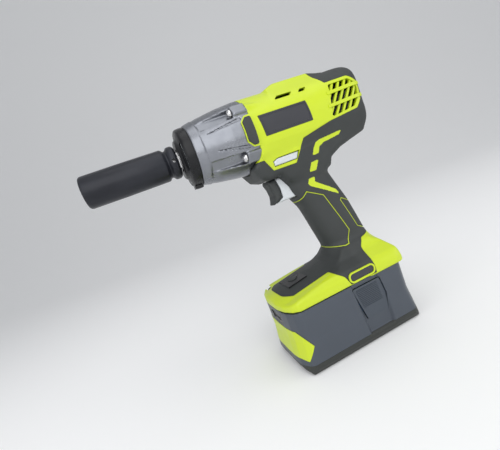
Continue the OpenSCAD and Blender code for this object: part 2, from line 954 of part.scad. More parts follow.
module battery_case() {
    color(pack_grey)
        difference() {
            union() {
                intersection() {
                    pack_shell();
                    box([-70, 70], [-50, 50], [base_split_z, 60]);
                }
                translate([0, 0, 55]) linear_extrude(height = stem_top_z - 55) polygon(stem_plan);
                for (p = pack_screw_xy) translate([p.x, p.y, base_split_z]) cylinder(h = 47, r = 3.6);
            }
            translate([0, 0, 50]) linear_extrude(height = stem_top_z - 52) polygon(inset(stem_plan, 2));
            for (p = pack_screw_xy) translate([p.x, p.y, base_split_z - 1]) cylinder(h = 14, r = 1.5);
            for (y = blade_y) box([23, 32], [y - 0.8, y + 0.8], [100, 110]);
            pack_cuts();
        }
}

module battery_base() {
    color(black)
        difference() {
            union() {
                intersection() {
                    pack_shell();
                    box([-70, 70], [-50, 50], [-1, base_split_z]);
                }
                for (p = pack_screw_xy) translate([p.x, p.y, 1]) cylinder(h = base_split_z - 1, r = 3.6);
            }
            for (p = pack_screw_xy) {
                translate([p.x, p.y, -1]) cylinder(h = 20, r = 1.7);
                translate([p.x, p.y, -1]) cylinder(h = 4, r = 3);
            }
            for (m = [0, 1]) mirror([0, m, 0]) across_from(release_recess, battery_w / 2 - 1, 50);
        }
}

module battery_front_trim() {
    color(lime) trim_blank();
}

module release_button(side) {
    color(pack_grey)
        mirror([0, side, 0])
            across_from(release_side, battery_w / 2 - 2.7, battery_w / 2 - 0.3);
}
module release_button_left() {
    release_button(1);
}

module release_button_right() {
    release_button(0);
}

module battery_cells() {
    color([0.15, 0.42, 0.62])
        for (x = [-38, -19, 0, 19, 38], z = [15.5, 34.5])
            translate([x, cell_len / 2, z]) rotate([90, 0, 0]) cylinder(h = cell_len, r = cell_r);
}

module battery_board() {
    color(board_green)
        union() {
            box([-56, 44], [-20, 20], [46, 47.6]);
            for (x = [-30, -12, 6]) box([x, x + 9], [-14, -6], [47, 51]);
        }
}

module stem_contacts() {
    color(copper)
        union() {
            translate([0, 0, 84]) linear_extrude(height = 3) polygon(inset(stem_plan, 2));
            for (y = blade_y, s = [-1.6, 0.8]) box([22, 33], [y + s, y + s + 0.8], [86, 99]);
        }
}

module gauge_panel() {
    color(black)
        difference() {
            box([-61.3, -59.4], [-14, 14], [43.5, 53.5]);
            translate([-65, 8, 48.5]) rotate([0, 90, 0]) cylinder(h = 10, r = 3.9);
            for (y = [-11, -7.5, -4, -0.5]) box([-63, -60.6], [y, y + 2], [46.5, 50.5]);
        }
}

module gauge_button() {
    color(light_grey) translate([-61.9, 8, 48.5]) rotate([0, 90, 0]) cylinder(h = 3, r = 3.5);
}

module battery_screws() {
    color(steel)
        for (p = pack_screw_xy)
            translate([p.x, p.y, 0]) {
                translate([0, 0, 1]) cylinder(h = 2, r = 2.8);
                translate([0, 0, 2]) cylinder(h = 17, r = 1.5);
            }
}

housing_left();
housing_right();
overmould_left();
overmould_right();
gear_case();
nose_cap();
lamp_lenses();
gear_case_screws();
housing_screws();
side_badges();
foot_badges();
anvil_bushing();
anvil_seal();
anvil();
friction_ring();
socket();
hammer();
hammer_spring();
camshaft();
cam_balls();
planet_pins();
planet_gear_1();
planet_gear_2();
planet_gear_3();
ring_gear();
gearbox_plate();
carrier_bearing();
sun_pinion();
rotor_shaft();
rotor_core();
rotor_windings();
commutator();
cooling_fan();
front_motor_bearing();
rear_motor_bearing();
motor_can();
motor_magnets();
brush_bell();
carbon_brushes();
switch_module();
trigger();
trigger_pad();
trigger_spring();
direction_selector();
control_board();
speed_panel();
speed_button();
terminal_block();
power_leads();
battery_case();
battery_base();
battery_front_trim();
release_button_left();
release_button_right();
battery_cells();
battery_board();
stem_contacts();
gauge_panel();
gauge_button();
battery_screws();
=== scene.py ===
import json
import math

import bpy
import numpy as np
from mathutils import Matrix, Vector


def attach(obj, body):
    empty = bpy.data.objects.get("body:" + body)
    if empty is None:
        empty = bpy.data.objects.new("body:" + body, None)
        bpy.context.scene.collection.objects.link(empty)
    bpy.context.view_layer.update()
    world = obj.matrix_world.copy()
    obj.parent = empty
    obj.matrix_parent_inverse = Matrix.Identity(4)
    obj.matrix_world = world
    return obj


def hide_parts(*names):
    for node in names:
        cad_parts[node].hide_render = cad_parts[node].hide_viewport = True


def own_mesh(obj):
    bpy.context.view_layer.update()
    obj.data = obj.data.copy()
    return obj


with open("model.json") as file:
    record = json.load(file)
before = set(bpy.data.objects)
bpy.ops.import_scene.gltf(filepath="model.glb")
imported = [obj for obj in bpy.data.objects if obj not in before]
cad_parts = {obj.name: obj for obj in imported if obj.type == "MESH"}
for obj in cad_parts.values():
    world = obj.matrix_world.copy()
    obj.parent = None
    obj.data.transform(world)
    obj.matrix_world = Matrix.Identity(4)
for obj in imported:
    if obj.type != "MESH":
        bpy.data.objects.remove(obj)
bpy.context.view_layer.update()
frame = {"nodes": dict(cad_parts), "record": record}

# ============================================================ shared shape tools
# Sizes below are in millimetres in the CAD frame; meshes are written in metres.
MM = 0.001
AXIS = 211.0


def smin(a, b, k):
    """Union of two fields with a blend of width k."""
    h = np.maximum(k - np.abs(a - b), 0.0) / k
    return np.minimum(a, b) - h * h * k * 0.25


def smax(a, b, k):
    return -smin(-a, -b, k)


def outline(u, v, pts):
    """Signed distance to a closed outline, negative inside."""
    dist, sign = None, 1.0
    for (ax, ay), (bx, by) in zip(pts, pts[1:] + pts[:1]):
        ex, ey = bx - ax, by - ay
        wx, wy = u - ax, v - ay
        t = np.clip((wx * ex + wy * ey) / (ex * ex + ey * ey), 0, 1)
        q = (wx - ex * t) ** 2 + (wy - ey * t) ** 2
        dist = q if dist is None else np.minimum(dist, q)
        c1, c2, c3 = v >= ay, v < by, ex * wy > ey * wx
        sign = np.where((c1 & c2 & c3) | (~c1 & ~c2 & ~c3), -sign, sign)
    return sign * np.sqrt(dist)


def half(u, v, p, q):
    """Distance to the line from p to q, positive on its right."""
    dx, dy = q[0] - p[0], q[1] - p[1]
    return ((u - p[0]) * dy - (v - p[1]) * dx) / math.hypot(dx, dy)


def rounded(pts, radius, steps=5):
    """The same outline with each corner turned into an arc."""
    out = []
    n = len(pts)
    for i in range(n):
        p = np.array(pts[i], float)
        a, b = np.array(pts[i - 1], float) - p, np.array(pts[(i + 1) % n], float) - p
        la, lb = np.linalg.norm(a), np.linalg.norm(b)
        a, b = a / la, b / lb
        bend = math.pi - math.acos(max(-1.0, min(1.0, float(a @ b))))
        r = radius[i] if isinstance(radius, (list, tuple)) else radius
        cut = min(r * math.tan(bend / 2), 0.45 * la, 0.45 * lb)
        if cut < 0.02 or bend < 0.03:
            out.append(tuple(p))
            continue
        r = cut / math.tan(bend / 2)
        mid = a + b
        centre = p + mid / np.linalg.norm(mid) * math.hypot(r, cut)
        s, e = p + a * cut - centre, p + b * cut - centre
        a0 = math.atan2(s[1], s[0])
        turn = (math.atan2(e[1], e[0]) - a0 + math.pi) % (2 * math.pi) - math.pi
        for k in range(steps + 1):
            t = a0 + turn * k / steps
            out.append((centre[0] + r * math.cos(t), centre[1] + r * math.sin(t)))
    return out


def shifted(pts, d):
    """The outline moved outwards by d (counter-clockwise outlines), corners mitred."""
    p = np.array(pts, float)
    e = np.roll(p, -1, 0) - p
    e /= np.linalg.norm(e, axis=1)[:, None]
    n = np.stack([e[:, 1], -e[:, 0]], 1)
    m = np.roll(n, 1, 0)
    return [tuple(q) for q in p + d * (n + m) / (1 + (n * m).sum(1))[:, None]]


def stroke(path, width):
    """A line of the given width along an open path, as a closed outline."""
    p = np.array(path, float)
    e = np.diff(p, axis=0)
    e /= np.linalg.norm(e, axis=1)[:, None]
    n = np.stack([-e[:, 1], e[:, 0]], 1)
    m = [n[0]] + [(a + b) / (1 + a @ b) for a, b in zip(n, n[1:])] + [n[-1]]
    m = np.array(m) * width / 2
    return [tuple(q) for q in p - m] + [tuple(q) for q in (p + m)[::-1]]


def raised(pts, dz=AXIS):
    return [(a, b + dz) for a, b in pts]


def new_object(name, verts, faces):
    """A mesh object from points in millimetres and faces as index lists or one index array."""
    me = bpy.data.meshes.new(name)
    if isinstance(faces, np.ndarray):
        me.vertices.add(len(verts))
        me.vertices.foreach_set("co", (np.asarray(verts, np.float32) * MM).ravel())
        me.loops.add(faces.size)
        me.loops.foreach_set("vertex_index", faces.astype(np.int32).ravel())
        me.polygons.add(len(faces))
        me.polygons.foreach_set("loop_start", np.arange(0, faces.size, faces.shape[1], dtype=np.int32))
        me.update(calc_edges=True)
        me.validate()
    else:
        me.from_pydata([tuple(c * MM for c in v) for v in verts], [], faces)
        me.update()
    ob = bpy.data.objects.new(name, me)
    bpy.context.scene.collection.objects.link(ob)
    return ob


def skin(name, field, lo, hi, step, tries=6):
    """Closed quad surface where the field is zero: one point a cell, moved onto the surface."""
    n = [int(math.ceil((b - a) / step)) + 1 for a, b in zip(lo, hi)]
    axes = [a + step * np.arange(k) for a, k in zip(lo, n)]
    grid = np.meshgrid(*axes, indexing="ij", sparse=True)
    f = np.broadcast_to(field(*grid), n).astype(np.float32)
    inside = f < 0
    corners = [(i, j, k) for i in (0, 1) for j in (0, 1) for k in (0, 1)]
    count = sum(
        inside[i:n[0] - 1 + i, j:n[1] - 1 + j, k:n[2] - 1 + k].astype(np.uint8) for i, j, k in corners
    )
    mixed = (count > 0) & (count < 8)
    cells = np.argwhere(mixed)
    index = np.full(mixed.shape, -1, np.int64)
    index[mixed] = np.arange(len(cells))
    quads = []
    for a in range(3):
        b, c = (a + 1) % 3, (a + 2) % 3
        first = np.take(inside, range(n[a] - 1), a)
        change = first != np.take(inside, range(1, n[a]), a)
        e = np.argwhere(change)
        e = e[(e[:, b] > 0) & (e[:, b] < n[b] - 1) & (e[:, c] > 0) & (e[:, c] < n[c] - 1)]
        ub, uc = np.eye(3, dtype=int)[b], np.eye(3, dtype=int)[c]
        q = np.stack([index[tuple((e - s).T)] for s in (ub + uc, uc, 0 * ub, ub)], 1)
        turned = ~first[tuple(e.T)]
        q[turned] = q[turned][:, ::-1]
        quads.append(q)
    quads = np.concatenate(quads)
    pairs = np.sort(np.concatenate([quads[:, [i, (i + 1) % 4]] for i in range(4)]), 1)
    bad = int((np.unique(pairs[:, 0] * len(cells) + pairs[:, 1], return_counts=True)[1] != 2).sum())
    if bad and tries:
        # Two sheets met in one cell: the same surface on a grid moved a little has none
        return skin(name, field, [a - 0.29 * step for a in lo], hi, step, tries - 1)
    total, hits = np.zeros((len(cells), 3)), np.zeros(len(cells))
    for a in corners:
        for axis in range(3):
            if a[axis]:
                continue
            b = list(a)
            b[axis] = 1
            fa = f[tuple((cells + a).T)]
            fb = f[tuple((cells + b).T)]
            cross = (fa < 0) != (fb < 0)
            t = np.where(cross, fa / np.where(cross, fa - fb, 1), 0)
            point = cells + np.array(a)[None, :] + 0.0
            point[:, axis] += t
            total += point * cross[:, None]
            hits += cross
    p = np.array(lo) + total / hits[:, None] * step
    start = p.copy()
    e = 0.05 * step
    for _ in range(4):
        v = field(*p.T)
        g = np.stack(
            [(field(*(p + d).T) - field(*(p - d).T)) / (2 * e) for d in np.eye(3) * e], 1
        )
        p = p - (v / np.maximum((g * g).sum(1), 0.05))[:, None] * g
        away = p - start
        size = np.linalg.norm(away, axis=1)
        p = start + away * np.minimum(1, 0.8 * step / np.maximum(size, 1e-9))[:, None]
    return new_object(name, p, quads)


def prism(name, outlines, y0, y1):
    """Each outline in X and Z as a solid from Y = y0 to Y = y1."""
    verts, faces = [], []
    for pts in outlines:
        area = sum(a[0] * b[1] - b[0] * a[1] for a, b in zip(pts, pts[1:] + pts[:1]))
        pts = pts if area > 0 else pts[::-1]
        k, n = len(verts), len(pts)
        verts += [(x, y0, z) for x, z in pts] + [(x, y1, z) for x, z in pts]
        faces.append([k + i for i in range(n)])
        faces.append([k + n + i for i in reversed(range(n))])
        for i in range(n):
            j = (i + 1) % n
            faces.append([k + j, k + i, k + n + i, k + n + j])
    return new_object(name, verts, faces)


def block(name, x, y, z):
    return prism(name, [[(x[0], z[0]), (x[1], z[0]), (x[1], z[1]), (x[0], z[1])]], y[0], y[1])


def reach(side, near, far):
    """The stretch of Y from near to far from the middle plane, on the side given by -1 or 1."""
    return (near, far) if side > 0 else (-far, -near)


def lathe(name, profile, steps=96, axis_y=0.0, axis_z=AXIS):
    """A closed profile of (radius, X) turned about a line along X."""
    n = len(profile)
    verts = [
        (x, axis_y + r * math.sin(2 * math.pi * s / steps), axis_z + r * math.cos(2 * math.pi * s / steps))
        for s in range(steps) for r, x in profile
    ]
    faces = [
        [s * n + i, s * n + (i + 1) % n, (s + 1) % steps * n + (i + 1) % n, (s + 1) % steps * n + i]
        for s in range(steps) for i in range(n)
    ]
    ob = new_object(name, verts, faces)
    tidy(ob)
    return ob


def tidy(ob):
    """Merges double points, drops empty faces and turns every face outwards."""
    import bmesh
    bm = bmesh.new()
    bm.from_mesh(ob.data)
    bmesh.ops.remove_doubles(bm, verts=bm.verts, dist=1e-7)
    bmesh.ops.dissolve_degenerate(bm, edges=bm.edges, dist=1e-7)
    bmesh.ops.recalc_face_normals(bm, faces=bm.faces)
    bm.to_mesh(ob.data)
    bm.free()


def applied(ob):
    """Turns the object's modifiers into plain mesh."""
    graph = bpy.context.evaluated_depsgraph_get()
    mesh = bpy.data.meshes.new_from_object(ob.evaluated_get(graph))
    ob.modifiers.clear()
    old, ob.data = ob.data, mesh
    bpy.data.meshes.remove(old)
    return ob


def carve(ob, tool, how="DIFFERENCE", keep=False):
    m = ob.modifiers.new("cut", "BOOLEAN")
    m.object, m.operation, m.solver = tool, how, "MANIFOLD"
    applied(ob)
    if not len(ob.data.polygons):
        raise RuntimeError(f"{ob.name} is empty after {how} with {tool.name}")
    if not keep:
        bpy.data.objects.remove(tool)
    return ob


def copied(ob, name):
    new = bpy.data.objects.new(name, ob.data.copy())
    bpy.context.scene.collection.objects.link(new)
    return new


def joined(name, *obs):
    """One object from several, whose solids stay separate."""
    verts, faces, base = [], [], 0
    for o in obs:
        verts += [tuple(c / MM for c in v.co) for v in o.data.vertices]
        faces += [[base + i for i in p.vertices] for p in o.data.polygons]
        base += len(o.data.vertices)
        bpy.data.objects.remove(o)
    return new_object(name, verts, faces)


def smooth(ob, angle=32):
    ob.data.shade_smooth()
    ob.data.set_sharp_from_angle(angle=math.radians(angle))
    return ob


def points_of(ob):
    co = np.empty(len(ob.data.vertices) * 3)
    ob.data.vertices.foreach_get("co", co)
    return co.reshape(-1, 3) / MM


def table(rows, width=9.0):
    """Values against height, joined smoothly: rows of (z, value, value...)."""
    rows = sorted(rows)
    z = np.arange(rows[0][0] - 20, rows[-1][0] + 20, 0.5)
    k = int(width)
    window = np.hanning(2 * k + 3)
    window /= window.sum()
    out = []
    for c in range(1, len(rows[0])):
        v = np.interp(z, [r[0] for r in rows], [r[c] for r in rows])
        out.append(np.convolve(np.pad(v, k + 1, "edge"), window, "valid"))
    return lambda at: [np.interp(at, z, v) for v in out]


# ============================================================ finishes
# One group of nodes gives every plastic, rubber and metal its grain, its blotches and its
# uneven gloss. The materials are listed after it, then given to every node that is carried over.
def finish_group():
    g = bpy.data.node_groups.new("surface_finish", "ShaderNodeTree")
    for name, kind, value in (
        ("Position", "NodeSocketVector", None), ("Colour", "NodeSocketColor", (0.5, 0.5, 0.5, 1)),
        ("Second colour", "NodeSocketColor", (0.4, 0.4, 0.4, 1)), ("Roughness", "NodeSocketFloat", 0.5),
        ("Roughness spread", "NodeSocketFloat", 0.1), ("Grain size", "NodeSocketFloat", 900.0),
        ("Blotch size", "NodeSocketFloat", 40.0), ("Blotch", "NodeSocketFloat", 0.3),
    ):
        s = g.interface.new_socket(name, in_out="INPUT", socket_type=kind)
        if value is not None:
            s.default_value = value
    for name, kind in (
        ("Colour", "NodeSocketColor"), ("Roughness", "NodeSocketFloat"), ("Height", "NodeSocketFloat"),
    ):
        g.interface.new_socket(name, in_out="OUTPUT", socket_type=kind)
    n, link = g.nodes, g.links.new
    into, out = n.new("NodeGroupInput"), n.new("NodeGroupOutput")
    grain, blotch = n.new("ShaderNodeTexNoise"), n.new("ShaderNodeTexNoise")
    for tex, size, detail in ((grain, "Grain size", 2.0), (blotch, "Blotch size", 4.0)):
        link(into.outputs["Position"], tex.inputs["Vector"])
        link(into.outputs[size], tex.inputs["Scale"])
        tex.inputs["Detail"].default_value = detail
    ramp = n.new("ShaderNodeMapRange")
    ramp.inputs["From Min"].default_value, ramp.inputs["From Max"].default_value = 0.35, 0.7
    link(blotch.outputs["Fac"], ramp.inputs["Value"])
    amount = n.new("ShaderNodeMath")
    amount.operation = "MULTIPLY"
    link(ramp.outputs["Result"], amount.inputs[0])
    link(into.outputs["Blotch"], amount.inputs[1])
    mix = n.new("ShaderNodeMix")
    mix.data_type = "RGBA"
    link(amount.outputs[0], mix.inputs["Factor"])
    link(into.outputs["Colour"], mix.inputs["A"])
    link(into.outputs["Second colour"], mix.inputs["B"])
    spread = n.new("ShaderNodeMath")
    spread.operation = "MULTIPLY_ADD"
    centred = n.new("ShaderNodeMath")
    centred.operation = "SUBTRACT"
    link(blotch.outputs["Fac"], centred.inputs[0])
    centred.inputs[1].default_value = 0.5
    link(centred.outputs[0], spread.inputs[0])
    link(into.outputs["Roughness spread"], spread.inputs[1])
    link(into.outputs["Roughness"], spread.inputs[2])
    link(mix.outputs["Result"], out.inputs["Colour"])
    link(spread.outputs[0], out.inputs["Roughness"])
    link(grain.outputs["Fac"], out.inputs["Height"])
    return g


FINISH = finish_group()


def material(name, colour, second=None, rough=0.5, spread=0.15, grain=900.0, bump=0.05, blotch=0.3,
             blotch_size=40.0, metal=0.0, coat=0.0, alpha=1.0, stretch=None, specular=0.5, ior=1.5):
    m = bpy.data.materials.new(name)
    m.use_nodes = True
    n, link = m.node_tree.nodes, m.node_tree.links.new
    shader = n["Principled BSDF"]
    position = n.new("ShaderNodeTexCoord").outputs["Object"]
    if stretch:
        squeeze = n.new("ShaderNodeMapping")
        squeeze.inputs["Scale"].default_value = stretch
        link(position, squeeze.inputs["Vector"])
        position = squeeze.outputs["Vector"]
    group = n.new("ShaderNodeGroup")
    group.node_tree = FINISH
    link(position, group.inputs["Position"])
    group.inputs["Colour"].default_value = (*colour, 1)
    group.inputs["Second colour"].default_value = (*(second or tuple(c * 0.82 for c in colour)), 1)
    group.inputs["Roughness"].default_value = rough
    group.inputs["Roughness spread"].default_value = spread
    group.inputs["Grain size"].default_value = grain
    group.inputs["Blotch"].default_value = blotch
    group.inputs["Blotch size"].default_value = blotch_size
    dent = n.new("ShaderNodeBump")
    dent.inputs["Strength"].default_value = bump
    dent.inputs["Distance"].default_value = 0.0004
    link(group.outputs["Height"], dent.inputs["Height"])
    link(group.outputs["Colour"], shader.inputs["Base Color"])
    link(group.outputs["Roughness"], shader.inputs["Roughness"])
    link(dent.outputs["Normal"], shader.inputs["Normal"])
    shader.inputs["Metallic"].default_value = metal
    shader.inputs["Coat Weight"].default_value = coat
    shader.inputs["Alpha"].default_value = alpha
    shader.inputs["Specular IOR Level"].default_value = specular
    shader.inputs["IOR"].default_value = ior
    return m


LIME = material(
    "lime_plastic", (0.53, 0.65, 0.016), (0.47, 0.59, 0.014), rough=0.36, grain=1500, bump=0.05,
    blotch=0.25,
)
RUBBER = material(
    "grey_rubber", (0.031, 0.035, 0.035), (0.024, 0.027, 0.026), rough=0.60, spread=0.25, grain=2200,
    bump=0.14,
)
CAST = material(
    "cast_aluminium", (0.245, 0.255, 0.28), (0.18, 0.19, 0.215), rough=0.30, spread=0.2, grain=1400,
    bump=0.10, metal=0.9, blotch=0.4, blotch_size=90,
)
BLACK = material(
    "black_plastic", (0.006, 0.0065, 0.008), (0.009, 0.009, 0.010), rough=0.28, grain=1600, bump=0.03,
    specular=0.28,
)
PACK = material(
    "pack_plastic", (0.055, 0.066, 0.085), (0.048, 0.057, 0.070), rough=0.40, spread=0.2, grain=1500,
    bump=0.06,
)
PHOSPHATE = material(
    "black_steel", (0.013, 0.014, 0.019), (0.032, 0.035, 0.044), rough=0.36, spread=0.35, grain=900,
    bump=0.10, blotch=0.5, blotch_size=70, metal=0.3, stretch=(0.35, 1, 1), specular=0.35,
)
STEEL = material(
    "bright_steel", (0.60, 0.60, 0.61), (0.46, 0.45, 0.44), rough=0.24, spread=0.2, grain=700, bump=0.04,
    metal=1.0,
)
SILVER = material(
    "silver_plastic", (0.60, 0.63, 0.65), (0.52, 0.55, 0.57), rough=0.42, grain=1500, bump=0.07, metal=0.15,
)
CLEAR = material(
    "clear_plastic", (0.75, 0.80, 0.82), rough=0.12, grain=900, bump=0.02, alpha=0.55, blotch=0.1,
)
BRONZE = material("bronze", (0.50, 0.33, 0.14), rough=0.35, metal=1.0, grain=1400, bump=0.08)
COPPER = material("copper", (0.60, 0.26, 0.13), rough=0.35, metal=1.0, grain=1800, bump=0.1)
BOARD = material("board", (0.02, 0.12, 0.04), rough=0.45, grain=600, bump=0.04, coat=0.3)
CARBON = material("carbon", (0.02, 0.02, 0.02), rough=0.6, grain=1800, bump=0.1)
FERRITE = material("ferrite", (0.06, 0.06, 0.06), rough=0.65, grain=1500, bump=0.1)
WRAP = material("cell_wrap", (0.03, 0.14, 0.32), rough=0.3, grain=500, bump=0.03)
LEAD = material("red_lead", (0.45, 0.03, 0.02), rough=0.45, grain=900, bump=0.03)
# The base shell is a darker moulding than the case, and its colour is darkened further as painted shade for
# its downward-facing band, which the floor lights too much.
BASE = material(
    "pack_base", (0.026, 0.029, 0.026), (0.021, 0.023, 0.021), rough=0.5, spread=0.2, grain=1500, bump=0.08,
)
PANEL = material(
    "release_panel", (0.050, 0.062, 0.080), (0.044, 0.053, 0.068), rough=0.46, spread=0.2, grain=1700,
    bump=0.08,
)
PLATE = material(
    "name_plate", (0.034, 0.035, 0.042), (0.030, 0.031, 0.037), rough=0.38, spread=0.15, grain=1300,
    bump=0.04,
)
BY_SLOT = {
    "lime_plastic": LIME, "grey_rubber": RUBBER, "cast_aluminium": CAST, "black_plastic": BLACK,
    "pack_plastic": PACK, "black_steel": PHOSPHATE, "bright_steel": STEEL, "silver_plastic": SILVER,
    "clear_plastic": CLEAR, "bronze": BRONZE, "copper": COPPER, "board": BOARD, "carbon": CARBON,
    "ferrite": FERRITE, "cell_wrap": WRAP, "red_lead": LEAD,
}
slot_of = {s["node"]: s["material_slot"] for s in frame["record"]["subparts"]}
for node, part in frame["nodes"].items():
    part.data.materials.clear()
    part.data.materials.append(BY_SLOT[slot_of[node]])
    part.data.shade_smooth()
    part.data.set_sharp_from_angle(angle=math.radians(30))


def place(ob, body, paint, *nodes, angle=32):
    """Finishes a piece: its material, its body, and the CAD nodes that it stands for."""
    ob.data.materials.clear()
    ob.data.materials.append(paint)
    smooth(ob, angle)
    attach(ob, body)
    if nodes:
        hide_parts(*nodes)
    return ob


# ============================================================ moulded body
# Two glass-filled nylon halves, screwed together along the middle plane, with a rubber grip moulded
# over them. One outer form is shared by both materials: the rubber lies flush in a step of the lime.
handle = table([
    (186, -14, 36, 25.0), (178, -13, 37, 23.0), (170, -14.5, 40, 20.3), (164, -12.2, 36.5, 18.2),
    (157, -11.2, 35.2, 17.0), (151, -10.4, 37.3, 16.4), (144, -7.0, 39.6, 16.2), (134, -1.7, 42.9, 16.4),
    (125, 0.6, 45.8, 16.8), (112, 3.4, 48.6, 17.2), (100, 6.0, 51.2, 17.0), (88, 8.4, 53.9, 16.6),
    (78, 9.0, 56.0, 17.5), (66, 9.0, 57.0, 18.0),
], 8)
head_radius = 32.5
neck_side = rounded(raised([
    (-27, -18), (-39.5, -29.8), (-34.4, -40.2), (-26.5, -43.4), (-15.5, -42.4), (-9, -50), (36, -50),
    (37.8, -43.2), (48.8, -37.7), (76, -30.5), (76, -10), (-27, -10),
]), 1.5)
neck_front = [(-40, -60), (15.5, -60), (17, -50), (20, -42), (24.6, -28), (29.3, -14), (29.3, 0), (-40, 0)]
hump_side = raised([(-3, 18), (-1.5, 31.8), (8.5, 36.0), (43, 36.6), (55.5, 31.4), (60, 18)])
hump_front = [(-40, 10), (31, 10), (25.6, 20.4), (11.5, 35.4), (6.5, 37.9), (-40, 37.9)]
foot_plan = rounded([
    (-63, -40), (62.3, -40), (62.3, 28), (58.8, 35), (54, 37.5), (-49.5, 37.5), (-55.5, 33), (-60, 24),
    (-62.3, 12),
], [0, 0, 6, 5, 6, 6, 6, 8, 8])
foot_side = rounded([
    (-80, 57), (80, 57), (80, 63), (63.5, 63), (59.5, 70.5), (53.5, 79.5), (45, 85.5), (14, 87), (8, 82),
    (0, 78.2), (-47, 71.4), (-58, 68), (-64.5, 64.4), (-80, 64.4),
], [0, 0, 0, 3, 6, 8, 8, 4, 6, 6, 4, 3, 2, 0])
foot_front = rounded(
    [(-40, 57), (37.5, 57), (37.4, 64.8), (33.2, 70.2), (23, 77), (18.5, 90), (-40, 90)],
    [0, 0, 0.8, 1, 6, 4, 0],
)
shoulder_side = rounded(
    [(27, 50), (62.3, 50), (62, 63), (59.5, 71.5), (53.5, 79.5), (46, 85.5), (24, 86.5)],
    [0, 0, 4, 6, 8, 6, 5],
)
shoulder_front = rounded(
    [(-40, 50), (35, 50), (35.5, 61), (32, 69), (23, 78), (15, 86), (-40, 86)], [0, 0, 3, 5, 6, 5, 0],
)
# The four case bolts, from the spindle line; a fairing runs back from each over the head
bolt_y, bolt_h = 24.6, 18.6
fairings = [(bolt_y, bolt_h), (bolt_y, -bolt_h)]


def tube_line(x, a, b, p, q, r0, r1):
    """Distance to a round bar from p to q, given as (x, y, h), tapering from r0 to r1."""
    d = [q[i] - p[i] for i in range(3)]
    w = [x - p[0], a - p[1], b - p[2]]
    t = np.clip((w[0] * d[0] + w[1] * d[1] + w[2] * d[2]) / sum(c * c for c in d), 0, 1)
    return np.sqrt(sum((w[i] - d[i] * t) ** 2 for i in range(3))) - (r0 + (r1 - r0) * t)


def body_field(x, y, z):
    h, ay = z - AXIS, np.abs(y)
    corner = np.interp(x, [28, 40, 56, 66], [32.5, 30, 26.5, 25])
    across = np.maximum(ay - head_radius + corner, 0)
    up = np.maximum(np.abs(h) - head_radius + corner, 0)
    barrel = np.sqrt(across ** 2 + up ** 2) - corner
    tail = smax(half(x, h, (87, -17), (88.5, 22.5)), half(x, h, (88.5, 22.5), (80, 32.8)), 5)
    head = smax(barrel, smax(tail, half(x, ay, (88.5, 14), (77, 32.5)), 9), 7)
    under_side = smax(half(x, h, (50, -37), (76, -30.5)), half(x, h, (76, -30.5), (87, -17)), 6)
    head = smax(head, under_side, 6)
    hump = smax(outline(x, z, hump_side), outline(ay, h, hump_front), 1.6)
    head = smin(head, hump, 2)
    for fy, fh in fairings:
        head = smin(head, tube_line(x, ay, h, (-34, fy, fh), (8, fy - 4.5, fh * 0.8), 4.9, 2.2), 2.0)
    neck = smax(outline(x, z, neck_side), outline(ay, h, neck_front), 5)
    head = smin(np.maximum(head, -29 - x), neck, 5)
    front, back, width = handle(z)
    mid, depth = (front + back) / 2, (back - front) / 2
    ring = ((np.abs(x - mid) / depth) ** 2.5 + (ay / width) ** 2.5) ** 0.4
    grip = (ring - 1) * np.minimum(depth, width)
    grip = np.maximum(grip, np.maximum(z - 182, 66 - z))
    crown = z + np.minimum(0.0065 * y * y, 4.4) * np.clip((z - 60) / 5, 0, 1) * np.clip((40 - x) / 30, 0.3, 1)
    foot = smax(
        smax(outline(ay, z, foot_front), outline(x, crown, foot_side), 2), outline(x, ay, foot_plan), 2.5,
    )
    shoulder = smax(outline(ay, z, shoulder_front), outline(x, z, shoulder_side), 5)
    return np.maximum(smin(smin(head, grip, 6), smin(foot, shoulder, 6), 8), 57 - z)


# Regions of the side view: rubber, and the lime that shows through it
rubber_zone = rounded([
    (43, AXIS + 60), (43.5, AXIS + 27), (47, AXIS + 18.6), (69, AXIS + 18.8), (76.4, AXIS + 12.6),
    (77.6, AXIS + 5.5), (75, AXIS - 4), (68, AXIS - 11), (39, AXIS - 13.8), (11, AXIS - 19.4),
    (0, AXIS - 37), (-22, AXIS - 36.4), (-28.5, AXIS - 26), (-60, AXIS - 24.5), (-60, 150), (-30, 100),
    (-56, 78), (-54.5, 68.0), (-46, 67.8), (-8, 73.2), (-0.5, 67.2), (3.5, 58), (30, 58), (31, 72),
    (32.5, 81), (38, 87.5), (70, 91), (120, 150), (120, AXIS + 60),
], [0, 3, 1, 3, 2, 3, 3, 2, 2, 0.5, 0.8, 0.8, 0.8, 0, 0, 0, 0, 2, 4, 2, 1, 0.5, 0.5, 2, 3, 4, 0, 0, 0])
stripe_a = raised(
    [
        (49.5, -23.6), (46.6, -26.8), (30, -28.6), (25, -30.8), (22.8, -36.0), (16.2, -36.2), (18.6, -30.6),
        (21.5, -26.6), (26, -25.1),
    ]
)
stripe_b = raised([(21.5, -41), (17.6, -49.2), (10.2, -49.1), (13.8, -41.3)])
stripe_c = raised(
    [(15, -54.1), (13.6, -58.6), (32.2, -72.3), (35.5, -78.6), (8.4, -61.2), (6.6, -58.2), (8.6, -54.3)]
)
grip_panel = raised(
    [
        (-12, -74.6), (-8.5, -72.6), (-1, -68.6), (3.2, -64.5), (17.4, -72.9), (30.3, -112.3),
        (24.1, -123.9), (20.6, -124.3), (2, -121),
    ]
)
back_panel = raised(
    [(50, -90), (41.5, -86.5), (34.2, -81.9), (32.5, -83.6), (41, -112.7), (48.3, -117), (60, -122)]
)


